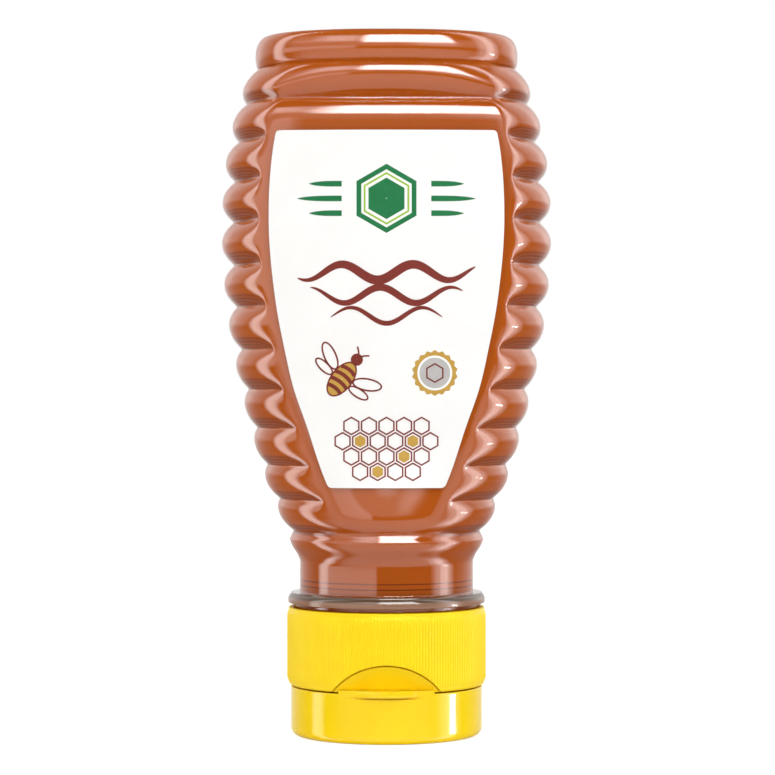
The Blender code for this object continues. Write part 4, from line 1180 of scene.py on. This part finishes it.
def cap_profile():
    """Radius and height pairs round the cap base, from the orifice outwards and back."""
    low, high = knurl_span()
    start = low + KNURL_END
    ribbed = high - KNURL_END - start
    heights = [low - KNURL_END, low] + [start + ribbed * share for share in even_shares(KNURL_ROWS)]
    outer = [(CAP_RADIUS, z) for z in heights + [high, high + KNURL_END]]
    corners = [
        (CAP_RADIUS, SKIRT_TOP),
        (SKIRT_INNER_RADIUS, SKIRT_TOP),
        (SKIRT_INNER_RADIUS, DECK_TOP),
        (PLUG_RADIUS, DECK_TOP),
        (PLUG_RADIUS, PLUG_TOP),
        (PLUG_RADIUS - PLUG_WALL, PLUG_TOP),
        (PLUG_RADIUS - PLUG_WALL, DECK_TOP),
        (WELL_OUTER_RADIUS, DECK_TOP),
        (WELL_OUTER_RADIUS, DECK_TOP + WELL_RISE),
        (WELL_RADIUS, DECK_TOP + WELL_RISE),
        (WELL_RADIUS, LIP_TOP),
        (ORIFICE_RADIUS, LIP_TOP),
        (ORIFICE_RADIUS, SPOUT_BOTTOM),
        (WELL_OUTER_RADIUS, SPOUT_BOTTOM),
        (WELL_OUTER_RADIUS, SKIRT_BOTTOM),
        (CAP_RADIUS - CAP_FOOT_ROUNDING, SKIRT_BOTTOM),
    ]
    rest = rounded([outer[-1]] + corners, CAP_RIM_ROUNDING, CAP_CORNER_STEPS)
    return quarter_round(CAP_RADIUS, SKIRT_BOTTOM, CAP_FOOT_ROUNDING) + outer + rest[1:-1]


def knurled(radius, z, angle):
    """The skirt's outer radius with its fine upright ribs, and any other radius as it is."""
    if abs(radius - CAP_RADIUS) > RADIUS_MARGIN:
        return radius
    low, high = knurl_span()
    fade = smooth_step((min(z - low, high - z) / KNURL_END + 1) / 2)
    valley = (1 + math.cos(angle * KNURL_RIBS)) / 2
    return radius + (KNURL_LIFT - KNURL_DEPTH * valley) * fade


def chord_block(name, radius, chord, low, high, back=False):
    """The part of a disc that lies beyond a straight chord, at the front or the back."""
    half = math.acos(chord / radius)
    middle = math.pi / 2 if back else -math.pi / 2
    outline = []
    for share in even_shares(ARCH_STEPS, -1):
        angle = middle + half * share
        outline.append((radius * math.cos(angle), radius * math.sin(angle), 0))
    return prism(name, outline, (0, 0, low), (0, 0, high))


def scoop_depth_line(z):
    """Distance from the axis to the scoop's floor at a height, so that its edge is an arch."""
    rise = max(z - (SKIRT_BOTTOM + SCOOP_HEIGHT - SCOOP_ARCH_RADIUS), 0.0)
    half_chord = max(SCOOP_ARCH_RADIUS**2 - rise**2, 0.0)
    return math.sqrt(CAP_RADIUS**2 - half_chord) - SCOOP_STEP


def scoop_arch(radius):
    """Points of an arch about the scoop's middle, cut off below the skirt."""
    middle = SKIRT_BOTTOM + SCOOP_HEIGHT - SCOOP_ARCH_RADIUS
    side = math.acos((SKIRT_BOTTOM - CUT_OVERRUN - middle) / radius)
    angles = [side * share for share in even_shares(ARCH_STEPS, -1)]
    return [(radius * math.sin(angle), 0, middle + radius * math.cos(angle)) for angle in angles]


def scoop_cutter(outline, deeper):
    """An outline pushed in along Y, as far as a floor that leans out upwards."""
    low = SKIRT_BOTTOM - 2 * CUT_OVERRUN
    top = SKIRT_BOTTOM + SCOOP_HEIGHT + CUT_OVERRUN
    front = -(CAP_RADIUS + CUT_OVERRUN)
    cutter = prism("scoop_arch", outline, (0, front, 0), (0, 0, 0))
    past = front - CUT_OVERRUN
    wedge = [(0, past, top), (0, past, low), (0, deeper - SCOOP_FLOOR, low)]
    heights = [SKIRT_BOTTOM + SCOOP_HEIGHT * share for share in even_shares(FILLET_STEPS)]
    wedge += [(0, deeper - scoop_depth_line(z), z) for z in heights + [top]]
    combine(cutter, prism("scoop_wedge", wedge, (front, 0, 0), (-front, 0, 0)), "INTERSECT")
    return cutter


def helix_ridge(name, root_radius, crest_radius, start, turns):
    """A right-handed thread ridge whose flanks taper to nothing at both ends."""
    steps = round(turns * TURN_STEPS / 2)
    inwards = 1 if crest_radius > root_radius else -1
    buried = root_radius - inwards * THREAD_EMBED
    rings = []
    for step in range(steps + 1):
        angle = 2 * math.pi * turns * step / steps
        z = start + THREAD_LEAD * turns * step / steps
        fade = smooth_step(min(step, steps - step) * 2 / TURN_STEPS / THREAD_FADE_SHARE)
        sunk = THREAD_EMBED * (1 - fade) / 2
        crest = root_radius + (crest_radius - root_radius) * fade - inwards * sunk
        section = (
            (buried, -THREAD_ROOT_HALF),
            (crest, -THREAD_CREST_HALF),
            (crest, THREAD_CREST_HALF),
            (buried, THREAD_ROOT_HALF),
        )
        rings.append([(r * math.cos(angle), r * math.sin(angle), z + up) for r, up in section])
    ends = [tuple(sum(axis) / len(ring) for axis in zip(*ring)) for ring in (rings[0], rings[-1])]
    return skin(name, rings, ends, None)


def make_cap(material):
    """The threaded skirt with its deck, spout, plug seal, ribs, thumb scoop and hinge recess."""
    cap = turned("cap", cap_profile(), material, KNURL_RIBS * COLUMNS_PER_RIB, knurled)
    middle = SKIRT_INNER_RADIUS + SKIRT_WALL / 4
    low = SKIRT_BOTTOM + DECK_THICKNESS / 2
    high = NECK_RIM - FIT_GAP
    combine(cap, chord_block("scoop_backing", middle, SCOOP_FLOOR - SCOOP_WALL, low, high), "UNION")
    recess_top = HINGE_HIGH.z + FIT_GAP + CUT_OVERRUN
    high = recess_top + HINGE_BACKING / 2
    recess_back = LID_RADIUS - HINGE_BACKING
    combine(cap, chord_block("recess_backing", middle, recess_back, low, high, back=True), "UNION")
    start = NECK_RIM + THREAD_START - THREAD_LEAD * (1 - CAP_THREAD_OFFSET_SHARE)
    crest = FINISH_RADIUS + THREAD_GAP
    combine(cap, helix_ridge("cap_thread", SKIRT_INNER_RADIUS, crest, start, CAP_THREAD_TURNS), "UNION")
    arch = scoop_arch(SCOOP_ARCH_RADIUS)
    combine(cap, scoop_cutter(arch, 0.0), "DIFFERENCE")
    seam = arch + scoop_arch(SCOOP_ARCH_RADIUS - SEAM_WIDTH)[::-1]
    combine(cap, scoop_cutter(seam, SEAM_DEPTH), "DIFFERENCE")
    half = HINGE_HIGH.x + FIT_GAP
    recess_low = (-half, HINGE_PAD_FACE, SKIRT_BOTTOM - CUT_OVERRUN)
    recess_high = (half, CAP_RADIUS + CUT_OVERRUN, recess_top)
    combine(cap, block("hinge_recess", recess_low, recess_high), "DIFFERENCE")
    even_normals(cap)
    return seat(cap, "cap", "yellow_cap_plastic", "cap_base")


def lid_profile():
    """Radius and height pairs of the lid, from its outer middle round to its inner nub."""
    inner = LID_RADIUS - LID_WALL
    seal_inner = WELL_OUTER_RADIUS + SEAL_GAP
    seal_outer = seal_inner + SEAL_WALL
    seal_top = SPOUT_BOTTOM + SEAL_OVERLAP
    nub_radius = ORIFICE_RADIUS - SLEEVE_GAP - SLEEVE_WALL - NUB_GAP
    nub_top = VALVE_LOW.z - NUB_GAP
    corners = [
        (LID_RADIUS, LID_HEIGHT),
        (inner, LID_HEIGHT),
        (inner, LID_PLATE),
        (seal_outer, LID_PLATE),
        (seal_outer, seal_top),
        (seal_inner, seal_top),
        (seal_inner, LID_PLATE),
        (nub_radius, LID_PLATE),
        (nub_radius, nub_top),
        (0.0, nub_top),
    ]
    fillet = quarter_round(LID_RADIUS, 0, LID_FILLET)
    wall_top = LID_HEIGHT - LID_RIM_ROUNDING - LID_ROW_MARGIN
    wall = [(LID_RADIUS, LID_FILLET + LID_ROW_MARGIN), (LID_RADIUS, wall_top)]
    return [(0.0, 0.0)] + fillet + wall + rounded([fillet[-1]] + corners, LID_RIM_ROUNDING)[1:]


def lip_columns(radius):
    """Place, depth of a wall with a given radius, and swell, at each column of the thumb lip."""
    columns = []
    for share in even_shares(ARCH_STEPS, -1):
        x = LIP_HALF_WIDTH * share
        columns.append((x, math.sqrt(radius**2 - x * x), 1 - share**2))
    return columns


def thumb_lip():
    """The crescent on the front of the lid that a thumb pushes, which stands up into the scoop."""
    columns = lip_columns(LID_RADIUS - LID_WALL / 2)
    reach = LIP_REACH + LID_WALL / 2
    outer = [(x, -(wall + reach * swell), 0) for x, wall, swell in columns]
    inner = [(x, -wall, 0) for x, wall, _ in columns]
    top = LID_HEIGHT + LIP_LIFT
    lip = prism("thumb_lip", outer + inner[-2:0:-1], (0, 0, top - LIP_HEIGHT), (0, 0, top))
    return soften(lip, LIP_ROUNDING)


def lip_shadow():
    """The slot under the thumb lip, which dies out at the lip's two ends."""
    columns = lip_columns(LID_RADIUS)
    outer = [(x, -(wall + LIP_SHADOW_DEPTH), 0) for x, wall, _ in columns]
    inner = [(x, -(wall - LIP_SHADOW_DEPTH * swell), 0) for x, wall, swell in columns]
    top = LID_HEIGHT + LIP_LIFT - LIP_HEIGHT
    return prism("lip_shadow", outer + inner[::-1], (0, 0, top - LIP_SHADOW_HEIGHT), (0, 0, top))


def make_lid(material):
    """The lid with its seal ring, nub, front shelf, thumb lip and hinge pad."""
    lid = turned("lid", lid_profile(), material)
    middle = LID_RADIUS - LID_WALL / 2
    top = LID_HEIGHT - SHELF_DROP
    shelf = chord_block("lid_shelf", middle, SCOOP_FLOOR - SHELF_WIDTH, top - SHELF_THICKNESS, top)
    combine(lid, shelf, "UNION")
    low = LID_HEIGHT - 2 * LID_RIM_ROUNDING
    top = LID_HEIGHT + LIP_LIFT
    ledge = chord_block("lip_ledge", LID_RADIUS - LEDGE_SINK, SCOOP_FLOOR + LEDGE_GAP, low, top)
    combine(lid, ledge, "UNION")
    combine(lid, thumb_lip(), "UNION")
    combine(lid, lip_shadow(), "DIFFERENCE")
    half = HINGE_HIGH.x + HINGE_PAD_MARGIN
    pad_low = (-half, LID_RADIUS - LID_WALL - HINGE_PAD_ROOT, HINGE_LOW.z - HINGE_PAD_MARGIN)
    pad_high = (half, HINGE_PAD_FACE, LID_HEIGHT - PAD_DROP)
    combine(lid, block("hinge_pad", pad_low, pad_high), "UNION")
    even_normals(lid)
    return seat(lid, "lid", "yellow_cap_plastic", "flip_lid")


def make_hinge(material):
    """The film hinge, folded over the parting line between the cap and the lid."""
    bend = PARTING_GAP / 2 + HINGE_BULGE + HINGE_THICKNESS
    inner = [(HINGE_FACE, HINGE_LOW.z)]
    for share in even_shares(HINGE_STEPS, -1):
        out = math.cos(math.pi / 2 * share) ** HINGE_FOLD_POWER
        inner.append((HINGE_FACE + HINGE_BULGE * out, HINGE_AXIS_Z + bend * share))
    inner.append((HINGE_FACE, HINGE_HIGH.z))
    outline = [(0, y, z) for y, z in inner] + [(0, y + HINGE_THICKNESS, z) for y, z in inner[::-1]]
    half = HINGE_HIGH.x
    hinge = prism("hinge", outline, (-half, 0, 0), (half, 0, 0), material)
    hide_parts("film_hinge")
    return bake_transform(hinge)


def make_valve(material):
    """The silicone valve: flange, sleeve and a domed head cut by a cross slit."""
    base = VALVE_LOW.z
    top = VALVE_HIGH.z
    seat_z = top - VALVE_FLANGE_THICKNESS
    sleeve = ORIFICE_RADIUS - SLEEVE_GAP
    head = sleeve - SLEEVE_WALL
    flange = WELL_RADIUS - FIT_GAP
    under = []
    over = []
    for share in even_shares(FILLET_STEPS):
        rise = HEAD_RISE * (1 - share**2)
        under.append((head * share, base + rise))
        over.append((head * share * HEAD_TOP_SHARE, base + HEAD_THICKNESS + rise))
    corners = [
        under[-1],
        (sleeve, base + SLEEVE_WALL / 2),
        (sleeve, seat_z),
        (flange, seat_z),
        (flange, top),
        (head, top),
        (head, base + HEAD_THICKNESS),
        over[-1],
    ]
    profile = under[:-1] + rounded(corners, SLEEVE_WALL / 4) + over[-2::-1]
    valve = turned("valve", profile, material, TURN_STEPS // 2)
    long_half = head * SLIT_SHARE
    low = base - CUT_OVERRUN
    high = base + HEAD_RISE + HEAD_THICKNESS + CUT_OVERRUN
    for half_x, half_y in ((long_half, SLIT_WIDTH / 2), (SLIT_WIDTH / 2, long_half)):
        combine(valve, block("slit", (-half_x, -half_y, low), (half_x, half_y, high)), "DIFFERENCE")
    return seat(valve, "valve", "silicone", "silicone_valve")


def feed(node, inputs):
    """Gives a node's inputs fixed values or the outputs of other nodes."""
    for key, value in inputs.items():
        if isinstance(value, bpy.types.NodeSocket):
            node.id_data.links.new(value, node.inputs[key])
        else:
            node.inputs[key].default_value = value
    return node


def add_node(tree, kind, inputs=None, **settings):
    """A new node of a tree, with its settings and its inputs."""
    node = tree.nodes.new(kind)
    for key, value in settings.items():
        setattr(node, key, value)
    return feed(node, inputs or {})


def new_material(name, inputs):
    """A material with a principled shader, and its shader."""
    material = bpy.data.materials.new(name)
    material.use_nodes = True
    return material, feed(material.node_tree.nodes["Principled BSDF"], inputs)


def worked_out(tree, operation, *values):
    """The result of a sum over one or two values of a node tree."""
    node = add_node(tree, "ShaderNodeMath", dict(enumerate(values)), operation=operation)
    return node.outputs["Value"]


def level_between(tree, value, span, levels):
    """A level that eases from one to another as a value goes through a span."""
    node = add_node(tree, "ShaderNodeMapRange", {"Value": value}, interpolation_type="SMOOTHSTEP")
    feed(node, {"From Min": span[0], "From Max": span[1], "To Min": levels[0], "To Max": levels[1]})
    return node.outputs["Result"]


def colour_between(tree, value, stops):
    """The colour that belongs to a value, from stops that each have a place and a colour."""
    ramp = add_node(tree, "ShaderNodeValToRGB", {"Fac": value})
    elements = ramp.color_ramp.elements
    for element, (place, colour) in zip(elements, (stops[0], stops[-1])):
        element.position = place
        element.color = colour
    for place, colour in stops[1:-1]:
        elements.new(place).color = colour
    return ramp.outputs["Color"]


def place_of(tree, space):
    """The outputs X, Y and Z of a place, in the piece's own space or as a direction in the world."""
    place = add_node(tree, "ShaderNodeTexCoord").outputs[space]
    return add_node(tree, "ShaderNodeSeparateXYZ", {"Vector": place}).outputs


def noise(tree, scale, detail=NOISE_DETAIL):
    """A noise over the piece's own place, in patches of about one part in scale of a metre."""
    place = add_node(tree, "ShaderNodeTexCoord").outputs["Object"]
    inputs = {"Vector": place, "Scale": scale, "Detail": detail}
    return add_node(tree, "ShaderNodeTexNoise", inputs).outputs["Fac"]


def mottle(shader, low, high, scale):
    """A base colour that drifts between two colours."""
    tree = shader.id_data
    colour = colour_between(tree, noise(tree, scale), ((MOTTLE_LOW, low), (MOTTLE_HIGH, high)))
    feed(shader, {"Base Color": colour})
    return colour


def vary_roughness(shader, roughness, swing, scale):
    """A roughness that drifts up and down by a swing."""
    tree = shader.id_data
    inputs = {"Value": noise(tree, scale), "To Min": roughness - swing, "To Max": roughness + swing}
    feed(shader, {"Roughness": add_node(tree, "ShaderNodeMapRange", inputs).outputs["Result"]})


def grain(shader, scale, strength, height):
    """A fine relief from noise."""
    tree = shader.id_data
    inputs = {"Strength": strength, "Distance": height, "Height": noise(tree, scale, GRAIN_DETAIL)}
    feed(shader, {"Normal": add_node(tree, "ShaderNodeBump", inputs).outputs["Normal"]})


def clear_plastic():
    """Clear blown plastic, with the faint waves of its blowing, that lets lamps through."""
    material, shader = new_material("clear_bottle_plastic", {
        "Roughness": 0.03, "Base Color": CLEAR, "IOR": PLASTIC_IOR, "Transmission Weight": 1.0,
    })
    grain(shader, scale=90, strength=0.10, height=BLOWN_RELIEF)
    tree = material.node_tree
    rays = add_node(tree, "ShaderNodeLightPath").outputs
    either = worked_out(tree, "MAXIMUM", rays["Is Shadow Ray"], rays["Is Diffuse Ray"])
    clear = add_node(tree, "ShaderNodeBsdfTransparent")
    inputs = {"Fac": either, 1: shader.outputs["BSDF"], 2: clear.outputs["BSDF"]}
    mix = add_node(tree, "ShaderNodeMixShader", inputs)
    feed(tree.nodes["Material Output"], {"Surface": mix.outputs["Shader"]})
    return material


def flange_material():
    """The flange's thick clear plastic, which looks darker and greyer than the thin wall, with painted
    shade that darkens it towards its top face.
    """
    material, shader = new_material("clear_bottle_flange_painted_shade", {
        "Roughness": 0.05, "IOR": PLASTIC_IOR, "Specular IOR Level": 0.25, "Transmission Weight": 0.20,
    })
    tree = material.node_tree
    # Darker towards the top face: painted shade, a little uneven
    height = level_between(tree, place_of(tree, "Object")["Z"], (FLANGE_BOTTOM, FLANGE_TOP), (0.0, 1.0))
    cloud = worked_out(tree, "MULTIPLY", noise(tree, FLANGE_CLOUD_SCALE), FLANGE_CLOUD_SHARE)
    colour = colour_between(tree, worked_out(tree, "ADD", height, cloud), FLANGE_TONES_WITH_PAINTED_SHADE)
    feed(shader, {"Base Color": colour})
    return material


def honey_material():
    """Thick amber honey behind the wall, in slow clouds, with painted shade and painted highlight lines
    along its grooves.
    """
    material, shader = new_material("honey", {"Roughness": 0.3, "Specular IOR Level": 0.0})
    clouds = mottle(shader, DEEP_AMBER, AMBER, scale=35)
    tree = material.node_tree
    painted_groove_light = add_node(tree, "ShaderNodeAttribute", attribute_name="painted_groove_light").outputs["Fac"]
    place = add_node(tree, "ShaderNodeMapRange", {"Value": painted_groove_light, "From Min": -1}).outputs["Result"]
    # Painted shade and highlight tints multiplied over the honey's own colour
    painted_light_tint = colour_between(tree, place, [(at, painted_light_tint + (1,)) for at, painted_light_tint in PAINTED_GROOVE_LIGHT_TINTS])
    inputs = {"Factor": 1.0, "A": clouds, "B": painted_light_tint}
    painted_light_mix = add_node(tree, "ShaderNodeMix", inputs, data_type="RGBA", blend_type="MULTIPLY")
    feed(shader, {"Base Color": painted_light_mix.outputs["Result"]})
    return material


def film_material():
    """White printed film, satin, with a faint tone of its own."""
    material, shader = new_material("label_film", {"Roughness": 0.45, "Specular IOR Level": 0.2})
    mottle(shader, FILM_SHADE, FILM_WHITE, scale=120)
    grain(shader, scale=2500, strength=0.06, height=FILM_RELIEF)
    return material


def darker(colour, share):
    """A colour with each channel brought down to a share."""
    return tuple(channel * share for channel in colour[:3]) + (1,)


def ink_material(name, colour):
    """Printing ink, a little uneven."""
    material, shader = new_material(name, {"Roughness": 0.5, "Specular IOR Level": 0.15})
    mottle(shader, darker(colour, INK_SHADE_SHARE), colour, scale=900)
    return material


def yellow_material(name, roughness, specular, relief):
    """Moulded yellow plastic with a faint orange peel."""
    material, shader = new_material(name, {"Specular IOR Level": specular})
    mottle(shader, DEEP_YELLOW, YELLOW, scale=180)
    vary_roughness(shader, roughness, swing=roughness / 5, scale=400)
    grain(shader, scale=700, strength=relief, height=PEEL_RELIEF)
    return material


def milky_material(name, colour, roughness, subsurface):
    """Milky moulded rubber or plastic."""
    inputs = {"Subsurface Weight": subsurface, "Subsurface Scale": MILKY_DEPTH}
    material, shader = new_material(name, inputs)
    mottle(shader, darker(colour, MILKY_SHADE_SHARE), colour, scale=500)
    vary_roughness(shader, roughness, swing=0.05, scale=900)
    return material


def add_floor():
    """A plain pale floor that is white to the camera and keeps the object's soft shadow."""
    low = (-FLOOR_REACH, -FLOOR_REACH, -FLOOR_THICKNESS)
    floor = block("floor", low, (FLOOR_REACH, FLOOR_REACH, -FLOOR_GAP))
    material, shader = new_material("floor", {
        "Base Color": FLOOR_TONE, "Roughness": 0.9, "Specular IOR Level": 0.0, "Emission Color": WHITE,
    })
    tree = material.node_tree
    rays = add_node(tree, "ShaderNodeLightPath").outputs
    feed(shader, {"Emission Strength": worked_out(tree, "MULTIPLY", rays["Is Camera Ray"], FLOOR_GLOW)})
    floor.data.materials.append(material)
    floor.visible_glossy = False


def add_world():
    """White to the camera and through clear plastic, a soft sky to matt surfaces, a studio to gloss."""
    world = bpy.data.worlds.new("studio")
    world.use_nodes = True
    bpy.context.scene.world = world
    tree = world.node_tree
    rays = add_node(tree, "ShaderNodeLightPath").outputs
    way = place_of(tree, "Generated")
    azimuth = worked_out(tree, "ARCTAN2", way["X"], worked_out(tree, "MULTIPLY", way["Y"], -1.0))
    elevation = worked_out(tree, "ARCSINE", way["Z"])
    gloss = level_between(tree, way["Y"], GLOSS_SPAN, (GLOSS_FRONT, GLOSS_BACK))
    ground_span = [math.radians(degrees) for degrees in GROUND_DEGREES]
    ground = level_between(tree, elevation, ground_span, (GLOSS_GROUND, 1.0))
    gloss = worked_out(tree, "MULTIPLY", gloss, ground)
    for across, up, radiance in SOFT_LIGHTS.values():
        lobe = radiance
        for value, (first, last, blur) in ((azimuth, across), (elevation, up)):
            for edge, levels in ((first, (0.0, 1.0)), (last, (1.0, 0.0))):
                span = (math.radians(edge - blur), math.radians(edge + blur))
                lobe = worked_out(tree, "MULTIPLY", level_between(tree, value, span, levels), lobe)
        gloss = worked_out(tree, "ADD", gloss, lobe)
    level = level_between(tree, way["Z"], SKY_SPAN, (SKY_LOW, SKY_HIGH))
    for kind, seen in (("Is Glossy Ray", gloss), ("Is Transmission Ray", 1.0), ("Is Camera Ray", 1.0)):
        inputs = {"Factor": rays[kind], "A": level, "B": seen}
        level = add_node(tree, "ShaderNodeMix", inputs, data_type="FLOAT").outputs["Result"]
    feed(tree.nodes["Background"], {"Color": level})


def add_lamp(name, azimuth, elevation, radiance, colour):
    """A square lamp that looks at the bottle's middle, seen by matt surfaces only."""
    data = bpy.data.lights.new(name, "AREA")
    data.size = LAMP_SIDE
    data.energy = radiance * math.pi * LAMP_SIDE**2
    data.color = colour
    lamp = bpy.data.objects.new(name, data)
    bpy.context.scene.collection.objects.link(lamp)
    turn = math.radians(azimuth)
    rise = math.radians(elevation)
    out = Vector((math.sin(turn) * math.cos(rise), -math.cos(turn) * math.cos(rise), math.sin(rise)))
    lamp.location = out * LAMP_DISTANCE + Vector((0, 0, AIM_HEIGHT))
    lamp.rotation_euler = (-out).to_track_quat("-Z", "Y").to_euler()
    lamp.visible_camera = False
    lamp.visible_transmission = False
    lamp.visible_glossy = False


def add_camera():
    """The camera, level with the middle of the bottle in front of its label."""
    data = bpy.data.cameras.new("camera")
    data.sensor_width = CAMERA_SENSOR
    data.lens = CAMERA_LENS
    camera = bpy.data.objects.new("camera", data)
    bpy.context.scene.collection.objects.link(camera)
    camera.location = (CAMERA_SIDE, -CAMERA_DISTANCE, CAMERA_HEIGHT)
    camera.rotation_euler = (math.pi / 2, 0, 0)
    bpy.context.scene.camera = camera


def main():
    """Builds the dressed bottle and its studio."""
    satin = yellow_material("yellow_cap_plastic", roughness=0.38, specular=0.2, relief=0.05)
    gloss = yellow_material("yellow_lid_plastic", roughness=0.07, specular=0.24, relief=0.01)
    make_shell(clear_plastic(), flange_material())
    make_honey(honey_material())
    make_label(film_material())
    print_label({
        "green": Ink("print_green", ink_material("ink_green", GREEN), INK_LOW),
        "leaf": Ink("print_leaf", ink_material("ink_leaf", LEAF_GREEN), INK_MIDDLE),
        "gold": Ink("print_gold", ink_material("ink_gold", GOLD), INK_LOW),
        "silver": Ink("print_silver", ink_material("ink_silver", SILVER), INK_MIDDLE),
        "brown": Ink("print_brown", ink_material("ink_brown", BROWN_RED), INK_HIGH),
    })
    make_cap(satin)
    make_lid(gloss)
    make_hinge(satin)
    make_valve(milky_material("silicone", SILICONE, roughness=0.45, subsurface=0.3))
    white = milky_material("retainer_plastic", RETAINER, roughness=0.35, subsurface=0.05)
    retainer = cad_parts["valve_retainer"]
    retainer.data.materials.clear()
    retainer.data.materials.append(white)
    add_floor()
    add_world()
    for lamp in LAMPS:
        add_lamp(*lamp)
    add_camera()
    bpy.context.scene.view_settings.view_transform = "Standard"


main()
